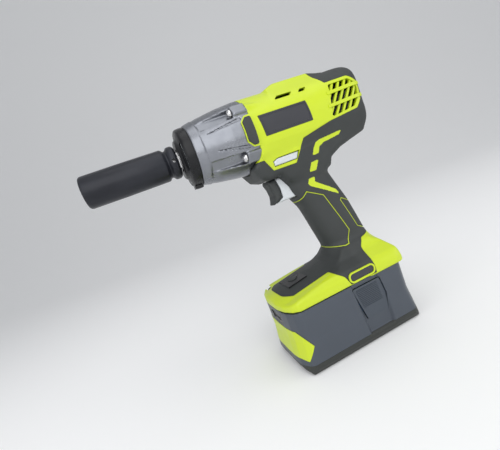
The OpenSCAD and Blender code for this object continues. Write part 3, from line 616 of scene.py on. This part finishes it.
def rubber_cutter(name, grow):
    """The rubber's region in the side view as a solid right through, with the lime stripes left out."""
    solid = prism(name, [shifted(rubber_zone, grow)], -60, 60)
    stripes = [rounded(shifted(s, -grow), 1.0) for s in (stripe_a, stripe_b, stripe_c)]
    carve(solid, prism("stripes", stripes, -61, 61))
    for path in (grip_panel, back_panel):
        carve(solid, prism("line", [stroke(path, 0.75 - 2 * grow)], -61, 61))
    carve(solid, block("sill", (-2, 34), (-61, 61), (50, 58.35 - grow)))
    return solid


LO, HI = (-43, -39, 55), (93, 39, 253)
LO_FOOT = (-66, -39, 55)
grid = 1.1
outer = skin("outer", body_field, LO_FOOT, HI, grid)
under = skin("under", lambda x, y, z: body_field(x, y, z) + 1.2, LO_FOOT, HI, grid * 1.3)
cavity = skin("cavity", lambda x, y, z: body_field(x, y, z) + 2.8, LO_FOOT, HI, 2.2)


def column(name, outlines, z0, z1):
    """Each outline in X and Y as a solid from Z = z0 to Z = z1."""
    ob = prism(name, outlines, z0, z1)
    p = points_of(ob)
    ob.data.vertices.foreach_set("co", (p[:, [0, 2, 1]] * MM).ravel())
    ob.data.flip_normals()
    return ob


def circle(cx, cz, r, steps=32):
    return [
        (
            cx + r * math.cos(2 * math.pi * i / steps), cz + r * math.sin(2 * math.pi * i / steps),
        ) for i in range(steps)
    ]


def repeated(name, unit, count, first, pitch):
    """Equal copies of a solid in a straight row, made by a geometry node tree."""
    tree = bpy.data.node_groups.get("repeat_in_a_row")
    if tree is None:
        tree = bpy.data.node_groups.new("repeat_in_a_row", "GeometryNodeTree")
        for label, kind in (
            ("Geometry", "Geometry"), ("Count", "Int"), ("First", "Vector"), ("Pitch", "Vector"),
            ("Material", "Material"),
        ):
            tree.interface.new_socket(label, in_out="INPUT", socket_type="NodeSocket" + kind)
        tree.interface.new_socket("Geometry", in_out="OUTPUT", socket_type="NodeSocketGeometry")
        n, link = tree.nodes, tree.links.new
        into, out = n.new("NodeGroupInput"), n.new("NodeGroupOutput")
        line, copy = n.new("GeometryNodeMeshLine"), n.new("GeometryNodeInstanceOnPoints")
        real, paint = n.new("GeometryNodeRealizeInstances"), n.new("GeometryNodeSetMaterial")
        link(into.outputs["Count"], line.inputs["Count"])
        link(into.outputs["First"], line.inputs["Start Location"])
        link(into.outputs["Pitch"], line.inputs["Offset"])
        link(line.outputs["Mesh"], copy.inputs["Points"])
        link(into.outputs["Geometry"], copy.inputs["Instance"])
        link(copy.outputs["Instances"], real.inputs["Geometry"])
        link(real.outputs["Geometry"], paint.inputs["Geometry"])
        link(into.outputs["Material"], paint.inputs["Material"])
        link(paint.outputs["Geometry"], out.inputs["Geometry"])
    m = unit.modifiers.new("repeat", "NODES")
    m.node_group = tree
    ids = {i.name: i.identifier for i in tree.interface.items_tree if i.in_out == "INPUT"}
    m[ids["Count"]] = count
    m[ids["First"]] = tuple(c * MM for c in first)
    m[ids["Pitch"]] = tuple(c * MM for c in pitch)
    m[ids["Material"]] = LIME
    unit.name = name
    return applied(unit)


# Openings through both materials: gear case bore, trigger mouth, selector slot, badge seats, air slots,
# battery stem, mode panel and screw wells
selector_side = raised([(-20, -33.4), (1.4, -33.6), (4.4, -27.8), (-16.5, -27.8), (-20.6, -29.5)])
badge_side = raised([(-21.5, -8.4), (23.4, -8.4), (22, 9), (-23, 9)])
grille_side = raised(
    [(47.5, 16.8), (40.5, -12.6), (66.8, -9.6), (73, -3), (75.6, 5.6), (74.8, 11.6), (68.6, 17)]
)
stem_plan = [(20.5, -11.5), (38, -11.5), (43, -7), (43, 7), (38, 11.5), (20.5, 11.5), (15.5, 7), (15.5, -7)]
capsule = rounded([(2.1, 58.7), (29.9, 58.7), (29.9, 68.5), (2.1, 68.5)], 4.85, 10)
panel_side = [(-44, 69.72), (-24, 72.48), (-24, 76), (-44, 76)]
screw_seats = [
    (-25, 175, 12), (62, 184, 14), (20, 245, 10), (71, 238, 14), (31, 150, 8), (30, 129, 9),
    (-51, 63.6, 25), (54, 65, 22),
]
cutters = [
    lathe("bore", [(0, -60), (32.8, -60), (32.8, -28.95), (27.1, -28.95), (27.1, -20), (0, -20)]),
    block("mouth", (-60, 3), (-9.4, 9.4), (145.1, 168.3)),
    prism("selector_slot", [shifted(selector_side, 0.45)], -60, 60),
    column("stem_mouth", [shifted(stem_plan, 0.5)], 50, 110),
    prism("panel_pocket", [panel_side], -12.1, 12.1),
    column("button_hole", [circle(-34, 0, 4.9)], 60, 80),
    carve(
        prism("badge_seats", [shifted(badge_side, 0.2)], -60, 60),
        lathe("badge_floor", [(0, -60), (31.5, -60), (31.5, 60), (0, 60)]),
    ),
]
for side in (-1, 1):
    cutters.append(prism("capsule_seat", [capsule], *reach(side, 36.6, 60)))
    slots = [
        raised([(-2.5, 17.9), (12.5, 17.9), (16.5, 21), (1.5, 21)]),
        raised([(20.5, 17.9), (27, 17.9), (30.5, 21), (24, 21)]),
    ]
    cutters.append(prism("top_slots", [rounded(o, 0.5) for o in slots], *reach(side, 18, 60)))
for x, z, y in screw_seats:
    cutters.append(prism("screw_well", [circle(x, z, 3.3)], y, 60))
window = rounded(shifted(grille_side, -1.0), 2.0)
for side in (-1, 1):
    cutters.append(prism("grille_window", [window], *reach(side, 12, 60)))
seam = block("seam", (-100, 110), (-0.07, 0.07), (40, 260))

lime = copied(outer, "housing_shell")
carve(lime, cavity, keep=True)
region = rubber_cutter("region", 0.12)
carve(region, under, keep=True)
carve(lime, region)
rubber = copied(outer, "rubber_grip")
carve(rubber, rubber_cutter("region_rubber", -0.12), "INTERSECT")
carve(rubber, under)
for cutter in cutters:
    carve(lime, cutter, keep=True)
    carve(rubber, cutter)
carve(lime, seam, keep=True)
carve(rubber, seam)


def clipped(f, x, y, z, limits):
    """A field kept inside a box, given as (low, high) along X, Y and Z."""
    for value, (low, high) in zip((x, y, z), limits):
        f = np.maximum(f, np.maximum(low - value, value - high))
    return f


def span(limits, extra=3):
    return [a - extra for a, b in limits], [b + extra for a, b in limits]


rear, far = [(37, 92), (-40, 40), (191, 235)], [(34, 95), (-42, 42), (188, 238)]


# ------------------------------------------------------------ air inlet grille
# The inlet bars are moulded with the housing: leaning bars across a dark opening, and two long level
# ribs that stand proud of them and run out over the rim at the back.
def layer(name, outlines, top, floor, y0=10):
    """The part of the housing's outer form inside the outlines, from 'top' above it to 'floor' below."""
    bar = skin(name, lambda x, y, z: clipped(body_field(x, y, z) - top, x, y, z, rear), *span(rear), 1.6)
    carve(
        bar,
        skin("floor", lambda x, y, z: clipped(body_field(x, y, z) + floor, x, y, z, far), *span(far), 1.6),
    )
    carve(bar, prism("mask", outlines, -60, 60), "INTERSECT")
    carve(bar, block("middle", (0, 100), (-y0, y0), (150, 260)))
    return bar


lean = math.tan(math.radians(35))
bar_side = raised([(-1.15, -16), (1.15, -16), (1.15 + 36 * lean, 20), (-1.15 + 36 * lean, 20)])
bar_unit = prism("grille_bars", [bar_side], -60, 60)
bars_mask = repeated("bars", bar_unit, 8, (31.0, 0, 0), (6.4, 0, 0))
carve(bars_mask, prism("window", [shifted(window, 0.3)], -61, 61), "INTERSECT")
bars = layer("grille_bars", [shifted(window, 0.3)], -0.9, 3.2)
carve(bars, bars_mask, "INTERSECT")
ribs = layer("grille_ribs", [
    rounded(raised([(43.2, 7.2), (79.3, 8.6), (79.3, 11.6), (43.9, 9.9)]), [1, 1.2, 1.2, 1]),
    rounded(raised([(40.6, -3.6), (78.4, -2.2), (78.4, 0.8), (41.2, -1.0)]), [1, 1.2, 1.2, 1]),
], 0.7, 2.6)
# A black sheet a little under the window, painted shade: it stands in for the dark inside of the air opening.
inside = layer("grille_shade", [shifted(window, 1.0)], -6.0, 7.2)
lime = joined("housing_shell", lime, bars, ribs)
for o in (outer, cavity):
    bpy.data.objects.remove(o)
place(lime, "housing", LIME, "housing_left", "housing_right")
place(rubber, "housing", RUBBER, "overmould_left", "overmould_right")
place(inside, "housing", BLACK)


# ============================================================ gear case and nose
# Die-cast aluminium case over the hammer. Four long pockets lead to the screws that hold it to the
# plastic body; each screw bears on a faceted boss.
def bolt_frame(y, h):
    """Radial and crosswise distance at the nearest of the four bolts."""
    ay, ah = np.abs(y), np.abs(h)
    return ay * 0.798 + ah * 0.603, ah * 0.798 - ay * 0.603


def case_field(x, y, z):
    h = z - AXIS
    r = np.sqrt(y * y + h * h)
    wall = r - np.interp(x, [-90, -80, -66.5, -47.5, -33, -20], [22.6, 25.4, 28.4, 31.2, 32.3, 32.5])
    band = smax(r - np.interp(x, [-80, -72], [25.9, 27.8]), np.abs(x + 76.1) - 3.9, 0.6)
    f = smin(wall, band, 0.5)
    u, v = bolt_frame(y, h)
    boss = smax(smax(np.abs(v) - 5.4, u - 34.2, 1.6), smax(26 - u, np.abs(x + 34.5) - 7.2, 1), 1.8)
    flank = smax(np.abs(v) + (u - 27) * 0.35 - 7.2, u - 33.4 - (x + 34) * 0.12, 1)
    shoulder = smax(flank, smax(26 - u, np.abs(x + 34) - 6.5, 1), 1)
    f = smin(f, smin(boss, shoulder, 0.6), 0.8)
    floor = np.interp(x, [-72, -44], [26.7, 27.4])
    slope = np.abs(v) - 4.6 - np.clip(u - 27, -1, 8) * 0.28
    pocket = smax(smax(slope, floor - u, 0.8), smax(-71.2 - x, x + 41.8, 0.5), 0.8)
    f = smax(f, -pocket, 0.5)
    side = np.where(np.abs(y) > 10, 0.0, 30.0)
    for a, b in (((-66, 8.5), (-38.0, 11.6)), ((-63, -6.5), (-38.0, -11.2))):
        dx, dh = b[0] - a[0], b[1] - a[1]
        t = np.clip(((x - a[0]) * dx + (h - a[1]) * dh) / (dx * dx + dh * dh), 0, 1)
        d = np.sqrt((x - a[0] - dx * t) ** 2 + (h - a[1] - dh * t) ** 2) - (0.25 + 1.0 * t) + side
        f = smax(f, -smax(d, -(f + 1.1), 0.5), 0.35)
    f = smax(f, -80.0 - x, 1.2)
    return np.maximum(f, x + 29.05)


case = skin("gear_case_casting", case_field, (-82, -36, 175), (-27, 36, 247), 0.82)
hollow = lathe("hollow", [
    (0, -95), (11.5, -95), (11.5, -68), (22.3, -68), (22.3, -67), (24.6, -58), (24.6, -20.5), (0, -20.5),
])
carve(case, hollow)
spigot = lathe("spigot", [(25.5, -30), (26.9, -30), (26.9, -10), (25.5, -10)])
nose_neck = lathe("nose_neck", [(11.5, -90), (14.4, -90), (14.4, -79), (11.5, -79)])
bolt_hole = [(0, -50), (2.1, -50), (2.1, -20), (0, -20)]
for a in (1, -1):
    for b in (1, -1):
        carve(case, lathe("bolt_hole", bolt_hole, 24, a * bolt_y, AXIS + b * bolt_h))
case = joined("gear_case_casting", case, spigot, nose_neck)
place(case, "housing", CAST, "gear_case", angle=38)

# Pan-head screws: turned and polished, one at the end of each pocket
head = lathe(
    "screw",
    [
        (0, -45.2), (1.2, -45.15), (2.3, -44.8), (3.1, -44.0), (3.5, -43.0), (3.5, -42.2), (1.9, -42.2),
        (1.9, -15), (0, -15),
    ],
    40, 0, 0,
)
for across, up in ((1.7, 0.45), (0.45, 1.7)):
    carve(head, block("cross", (-46, -44.3), (-across, across), (-up, up)))
screws = repeated("screws", copied(head, "left"), 2, (0, -bolt_y, AXIS - bolt_h), (0, 0, 2 * bolt_h))
screws = joined(
    "gear_case_screw_set", screws,
    repeated("right", head, 2, (0, bolt_y, AXIS - bolt_h), (0, 0, 2 * bolt_h)),
)
place(screws, "housing", STEEL, "gear_case_screws", angle=40)

# Moulded tongue of the housing over each side of the case, with a rubber insert in it
tongue = rounded(
    raised([(-28.2, -13.4), (-28.2, 13), (-34.2, 12.6), (-38.6, 8.2), (-38.6, -8.2), (-34, -13)]),
    [0, 0, 1.5, 1.5, 1.5, 1.5],
)
insert = rounded(
    raised([(-29.6, -11.8), (-29.6, 11.2), (-34, 11.2), (-37.6, 7.6), (-37.6, -7.8), (-33.8, -11.8)]), 1.2,
)
for name, shape, r0, r1, paint in (
    ("case_tongue", tongue, 32.45, 33.5, LIME), ("case_insert", insert, 32.7, 34.2, RUBBER),
):
    ring = lathe(name, [(r0, -40), (r1, -40), (r1 + 0.3, -28), (r0, -28)], 160)
    carve(ring, prism("mask", [shape], -60, 60), "INTERSECT")
    if name == "case_tongue":
        carve(ring, prism("seat", [shifted(insert, 0.15)], -60, 60))
    place(ring, "housing", paint)

# Nose cap: glossy black moulding clipped round the front of the case, with three lamp windows
cap = lathe("lamp_ring", [
    (9.8, -90.9), (15.6, -91.2), (16.4, -90.8), (17.2, -89.6), (19.2, -88.9), (23.6, -87.9), (24.6, -87.2),
    (25.1, -86), (25.4, -83), (25.4, -80.1), (14.6, -80.1), (14.6, -90.1), (9.8, -90.1),
], 160)


def lamp_wedges(name, r0, r1, x0, x1):
    ring = lathe(name, [(r0, x0), (r1, x0), (r1, x1), (r0, x1)], 160)
    fans = []
    for a in (90, 210, 330):
        t = [math.radians(a + d) for d in (-29, -14, 0, 14, 29)]
        fans.append([(0, 0)] + [(40 * math.cos(k), 40 * math.sin(k)) for k in t])
    mask = prism("fan", fans, -100, 0)
    q = points_of(mask)
    mask.data.vertices.foreach_set("co", (np.stack([q[:, 1], -q[:, 2], q[:, 0] + AXIS], 1) * MM).ravel())
    tidy(mask)
    return carve(ring, mask, "INTERSECT")


carve(cap, lamp_wedges("lamp_slots", 19.6, 23.2, -95, -86.2))
lug = prism(
    "lug",
    [rounded(raised([(-87.5, -27.2), (-84, -27.6), (-80.1, -27.6), (-80.1, -24.6), (-87.2, -23.5)]), 0.8)],
    -4, 4,
)
carve(cap, lug, "UNION")
place(cap, "housing", BLACK, "nose_cap", angle=40)
lenses = lamp_wedges("lamp_windows", 19.75, 23.05, -87.6, -86.3)
place(lenses, "housing", CLEAR, "lamp_lenses")

# ============================================================ impact socket
# Deep socket, forged and turned from chrome-molybdenum steel and black phosphated. The hexagon goes
# on the nut and the square on the anvil; the cross hole takes a retaining pin.
socket = lathe("impact_socket", [
    (0, -170.5), (11.6, -170.5), (12.5, -170.2), (13.2, -169.3), (13.5, -168.2), (13.7, -140),
    (13.6, -104.7), (13.2, -103.6), (11.9, -102.4), (11.4, -101.6), (11.4, -100.9), (12, -100),
    (13.2, -99.2), (13.8, -98.3), (13.9, -97.5), (13.9, -95.2), (13.6, -94.3), (12.6, -93.2), (11.8, -92.9),
    (0, -92.9),
], 128)
hexagon = circle(0, 0, 9.62 / math.cos(math.pi / 6), 6)


def drift(name, outline_yz, x0, x1):
    """An outline in Y and Z about the spindle as a solid from X = x0 to X = x1."""
    ob = prism(name, [outline_yz], x0, x1)
    q = points_of(ob)
    ob.data.vertices.foreach_set("co", (np.stack([q[:, 1], q[:, 0], q[:, 2] + AXIS], 1) * MM).ravel())
    tidy(ob)
    return ob


carve(socket, drift("nut_hex", hexagon, -172, -141.5))
carve(socket, drift("drive_square", [(-6.4, -6.4), (6.4, -6.4), (6.4, 6.4), (-6.4, 6.4)], -111, -80))
carve(socket, drift("bore", circle(0, 0, 5), -145, -108))
carve(socket, prism("pin_hole", [circle(-96.5, AXIS, 1.6, 24)], -30, 30))
place(socket, "socket", PHOSPHATE, "socket", angle=28)

# ============================================================ trigger and selector
# Silver nylon lever with a soft pad moulded over its front. It slides straight back into the handle
# against its spring, and a stalk on its back carries the push to the switch.
pull_line = AXIS - 54
pad_side = raised([
    (-26.4, -65.4), (-17.2, -61.5), (-16.9, -53), (-18.7, -43.2), (-26.2, -43.6), (-26.8, -46),
    (-25, -51.3), (-24.3, -57.6), (-25.3, -62.5),
])
lever_side = raised(
    [(-24.0, -65.2), (-3.2, -65.2), (-3.2, -43.4), (-24, -43.4), (-23.4, -50), (-22.6, -57.5)]
)


def lever_field(x, y, z):
    return smax(outline(x, z, lever_side) + 0.05, np.abs(y) - 8.9, 2.6)


def pad_field(x, y, z):
    return smax(outline(x, z, pad_side) - 0.25, np.abs(y) - 9.15, 4.2)


fine = 0.6
lever = skin("trigger_lever", lever_field, (-28, -11, 143), (0, 11, 170), fine)
pad = skin("trigger_grip", pad_field, (-30, -11, 143), (-14, 11, 170), fine)
pad_back = [(-17.2, -61.5), (-16.9, -53), (-18.7, -43.2)]
pad_seat = raised([(-30, -68), *pad_back, (-30, -40)])
pad_limit = raised([*pad_back, (-19, -38), (-4, -38), (-4, -68), (-14, -68)])
carve(lever, prism("pad_seat", [pad_seat], -20, 20))
carve(pad, prism("pad_limit", [shifted(pad_limit, 0.12)], -20, 20))
carve(lever, lathe("spring_seat", [(0, -3.4), (4.6, -3.4), (4.6, -2.9), (0, -2.9)], 32, 0, pull_line))
stalk = lathe("stalk", [(0, -4), (2, -4), (2, 8), (0, 8)], 32, 0, pull_line)
lever = joined("trigger_lever", lever, stalk)
place(lever, "trigger", SILVER, "trigger")
place(pad, "trigger", RUBBER, "trigger_pad")

# One silver bar across the handle, whose two wedge ends show in the housing's slots
def selector_field(x, y, z):
    draft = np.clip(AXIS - 30 - z, -3, 3) * 0.15
    ends = smax(outline(x, z, selector_side) + 0.05, np.abs(y) - 24.5 + draft, 1.4)
    ends = smax(ends, 16 - np.abs(y), 0.4)
    bar = np.maximum(np.maximum(np.abs(x + 7) - 7, np.abs(z - (AXIS - 31.3)) - 1.9), np.abs(y) - 17)
    return np.minimum(ends, bar)


selector = skin("selector_bar", selector_field, (-24, -27, 174), (8, 27, 187), fine)
place(selector, "selector", SILVER, "direction_selector")


# ============================================================ battery
# Two moulded shells joined near the floor, a stem that plugs into the handle, a lime band across the
# front corners, and a press panel on each side that works the latch.
pack_plan = rounded([
    (-61.6, 0), (-61.2, 16), (-59.6, 25.5), (-55.4, 33.2), (-49.5, 37.6), (53, 37.6), (60.7, 30), (60.7, 0),
    (60.7, -60), (-61.6, -60),
], [0, 20, 7, 6, 7, 10, 10, 0, 0, 0])
pack_side = rounded(
    [(-56, 0), (60, 0), (65, 5.5), (60.8, 58), (60.8, 70), (-62.6, 70), (-63, 8), (-60.5, 4)],
    [1.5, 5, 5, 3, 0, 0, 1.5, 2],
)
pack_front = rounded(
    [(-60, 0), (35.2, 0), (37.4, 5), (37.7, 46), (36.4, 58), (35.8, 70), (-60, 70)], [0, 3, 3, 6, 4, 0, 0],
)
pack_recess = [(4.9, 7.4), (32.9, 7.4), (33.2, 30), (31.2, 64), (0.4, 64)]


def pack_field(x, y, z):
    ay = np.abs(y)
    crown = smax(outline(x, z, pack_side), outline(ay, z, pack_front), 1.0)
    flare = np.clip((30 - z) / 30, 0, 1) * 3.6
    f = smax(crown, outline(x, ay, pack_plan) - flare, 1.6)
    # Shallow waist behind the front corner and a soft step under the top edge
    dip = outline(x, z, pack_recess) + (37.5 - ay) * 0.75
    return np.maximum(smax(f, -smax(dip, 34.7 - ay, 0.5), 0.6), z - 56.9)


step = 0.9
mass = skin("pack_mass", pack_field, (-65, -39, -2), (67, 39, 60), step)
core = skin(
    "pack_core", lambda x, y, z: smax(pack_field(x, y, z) + 2.3, z - 54.5, 1), (-64, -38, 0), (65, 38, 58),
    2.2,
)
skin_deep = skin("pack_skin", lambda x, y, z: pack_field(x, y, z) + 1.4, (-65, -39, -2), (67, 39, 60), 1.8)
trim_side = [(-70, 14.6), (-61.2, 15.4), (-56.8, 13), (-48.7, 25.7), (-57.9, 40), (-62.8, 41.7), (-70, 42)]
nose = [(-66, -42), (-42, 42), (9, 49)]
band = skin(
    "front_band", lambda x, y, z: clipped(pack_field(x, y, z) - 0.28, x, y, z, nose), *span(nose), step,
)
carve(band, skin_deep, keep=True)
carve(band, prism("band_mask", [rounded(shifted(trim_side, -0.12), 0.8)], -60, 60), "INTERSECT")
shell = copied(mass, "pack_shell")
carve(shell, core, keep=True)
band_seat = prism("band_seat", [shifted(trim_side, 0.12)], -60, 60)
carve(band_seat, skin_deep)
carve(shell, band_seat)
release_side = [(8.1, 22.3), (30.6, 22.3), (32.7, 37), (30.9, 52.6), (1.9, 52.6)]
for side in (-1, 1):
    carve(shell, prism("panel_window", [shifted(release_side, 0.55)], *reach(side, 32, 60)))
carve(shell, block("gauge_window", (-70, -59.3), (-14.2, 14.2), (43.3, 53.7)))
carve(shell, drift("gauge_hole", circle(8, 48.5 - AXIS, 3.9, 24), -70, -56))
stem = column("stem", [rounded(stem_plan, 1.2)], 55.5, 108)
carve(stem, column("stem_core", [shifted(stem_plan, -2)], 50, 106))
for y in (-7, 0, 7):
    carve(stem, block("blade_slot", (23, 32), (y - 0.9, y + 0.9), (99, 112)))
upper = copied(shell, "pack_upper")
carve(upper, block("below", (-80, 80), (-60, 60), (-10, 9.08)))
upper = joined("pack_upper", upper, stem)
lower = shell
lower.name = "pack_lower"
carve(lower, block("top", (-80, 80), (-60, 60), (8.92, 80)))
for x in (-52, 52):
    for y in (-27, 27):
        carve(lower, column("screw_well", [circle(x, y, 3.1, 24)], -5, 3.2))
place(upper, "battery", PACK, "battery_case")
place(lower, "battery", BASE, "battery_base")
place(band, "battery", LIME, "battery_front_trim")
for o in (mass, core):
    bpy.data.objects.remove(o)

# Release panels: each lies in a groove and carries fine level ribs for the thumb
for side, node in ((-1, "release_button_left"), (1, "release_button_right")):
    plate = prism("panel", [rounded(release_side, 1.2)], *reach(side, 34.7, 35.9))
    rib = prism("rib", [[(0, 0), (22, 0), (22, 0.7), (0, 0.7)]], *reach(side, 34.9, 36.4))
    ribs = repeated("ribs", rib, 12, (6.5, 0, 33), (-0.12, 0, 1.55))
    carve(ribs, prism("rib_mask", [shifted(release_side, -2.2)], -60, 60), "INTERSECT")
    panel = joined("panel_" + ("left" if side < 0 else "right"), plate, ribs)
    place(panel, "release_left" if side < 0 else "release_right", PANEL, node)

# ============================================================ badges
# Blank name plates, moulded in dark plastic: a curved one sunk in each side of the head, and a capsule
# with a lime rim pressed in each side of the foot.
plate = lathe("side_plates", [(31.6, -30), (32.75, -30), (32.75, 30), (31.6, 30)], 200)
carve(plate, prism("plate_mask", [rounded(badge_side, 0.8)], -60, 60), "INTERSECT")
frame_line = lathe("frame_line", [(32.45, -30), (34, -30), (34, 30), (32.45, 30)], 200)
carve(frame_line, prism("line_mask", [shifted(badge_side, -1.4)], -60, 60), "INTERSECT")
carve(frame_line, prism("line_core", [shifted(badge_side, -1.9)], -61, 61))
carve(plate, frame_line)
place(plate, "housing", PLATE, "side_badges")
outer_ring = rounded([(2.2, 58.8), (29.8, 58.8), (29.8, 68.4), (2.2, 68.4)], 4.75, 10)
inner_ring = rounded([(3.6, 60.2), (28.4, 60.2), (28.4, 67), (3.6, 67)], 3.35, 10)
rings, blanks = [], []
for side in (-1, 1):
    ring = prism("ring", [outer_ring], *reach(side, 36.7, 37.8))
    carve(ring, prism("ring_core", [inner_ring], -60, 60))
    rings.append(ring)
    blanks.append(prism("blank", [shifted(inner_ring, -0.05)], *reach(side, 36.7, 37.2)))
rings = joined("foot_rings", *rings)
place(rings, "housing", LIME, "foot_badges")
place(joined("foot_blanks", *blanks), "housing", PLATE)

# ============================================================ springs
# Hammer spring behind the hammer and return spring behind the trigger: round spring wire wound
# with one closed turn at each end.
def coil(name, x0, length, radius, wire, turns, height):
    """A compression spring about a line along X, from x0 towards the tail, wire given by its radius."""
    t = np.linspace(0, turns, round(turns * 40) + 1)
    closed = 1.06 * 2 * wire
    along = x0 + np.interp(
        t, [0, 1, turns - 1, turns], [wire, wire + closed, length - wire - closed, length - wire])
    points = []
    for turn, x in zip(t, along):
        a = 2 * math.pi * turn
        for j in range(12):
            b = 2 * math.pi * j / 12
            r = radius + wire * math.cos(b)
            points.append((x + wire * math.sin(b), r * math.sin(a), height + r * math.cos(a)))
    rows = len(t)
    faces = [
        [i * 12 + j, i * 12 + (j + 1) % 12, (i + 1) * 12 + (j + 1) % 12, (i + 1) * 12 + j]
        for i in range(rows - 1) for j in range(12)
    ]
    faces += [list(range(12)), list(range((rows - 1) * 12, rows * 12))]
    ob = new_object(name, points, faces)
    tidy(ob)
    return ob


main_coil = coil("hammer_coil", -44.9, 20.8, 15.5, 1.4, 4, AXIS)
place(main_coil, "camshaft", STEEL, "hammer_spring", angle=60)
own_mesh(main_coil)
return_coil = coil("trigger_coil", -2.95, 7.9, 3.6, 0.5, 4, pull_line)
place(return_coil, "housing", STEEL, "trigger_spring", angle=60)
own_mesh(return_coil)


# ============================================================ studio
# A seamless pale sheet of paper under and behind the tool, lit by four soft square lamps: a key in
# front, one to each side and one above. The camera stands low on the tool's left front.
floor_side = [(-9000, 0), (900, 0)] + [
    (900 + 1500 * math.sin(t), 1500 - 1500 * math.cos(t)) for t in (
        math.pi / 2 * i / 24 for i in range(1, 25)
    )
] + [(2400, 9000)]
turn = Matrix.Rotation(math.radians(66), 4, "Z")
sheet_points = [turn @ Vector((a, w, b)) for a, b in floor_side for w in (-9000, 9000)]
backdrop = new_object(
    "backdrop", sheet_points, [[2 * i, 2 * i + 1, 2 * i + 3, 2 * i + 2] for i in range(len(floor_side) - 1)]
)
smooth(backdrop, 60)
white = material(
    "studio_paper", (0.93, 0.93, 0.93), (0.91, 0.91, 0.91), rough=0.85, grain=60, bump=0.01, blotch=0.1,
    specular=0.1,
)
backdrop.data.materials.append(white)

world = bpy.data.worlds.new("studio")
world.use_nodes = True
world.node_tree.nodes["Background"].inputs["Color"].default_value = (0.95, 0.97, 1.0, 1)
world.node_tree.nodes["Background"].inputs["Strength"].default_value = 0.55
bpy.context.scene.world = world
for name, at, aim, size, power in (
    ("key", (-250, -1000, 650), (0, 0, 130), 1.1, 7), ("left", (-900, -300, 350), (-40, 0, 150), 0.6, 1.5),
    ("top", (100, -250, 1100), (0, 0, 200), 0.9, 3), ("right", (850, -650, 300), (40, 0, 120), 0.6, 1.5),
):
    lamp = bpy.data.lights.new(name, "AREA")
    lamp.shape, lamp.size, lamp.energy = "SQUARE", size, power
    lamp_object = bpy.data.objects.new(name, lamp)
    lamp_object.location = Vector(at) * MM
    lamp_object.rotation_euler = (Vector(aim) - Vector(at)).to_track_quat("-Z", "Y").to_euler()
    bpy.context.scene.collection.objects.link(lamp_object)

camera = bpy.data.cameras.new("camera")
camera.lens, camera.sensor_width, camera.clip_start = 22.77, 36.0, 0.01
camera_object = bpy.data.objects.new("camera", camera)
swing = Matrix.Rotation(
    math.sqrt(0.0708 ** 2 + 0.2711 ** 2 + 0.3823 ** 2), 3, Vector((0.0708, -0.2711, -0.3823)),
)
look = swing @ Matrix(((1, 0, 0), (0, 0, -1), (0, 1, 0)))
camera_object.matrix_world = Matrix.Translation(Vector((-124.8, -276.6, 171.1)) * MM) @ (
    look.transposed() @ Matrix.Diagonal((1, -1, -1))
).to_4x4()
bpy.context.scene.collection.objects.link(camera_object)
bpy.context.scene.camera = camera_object
bpy.context.scene.view_settings.view_transform = "Standard"
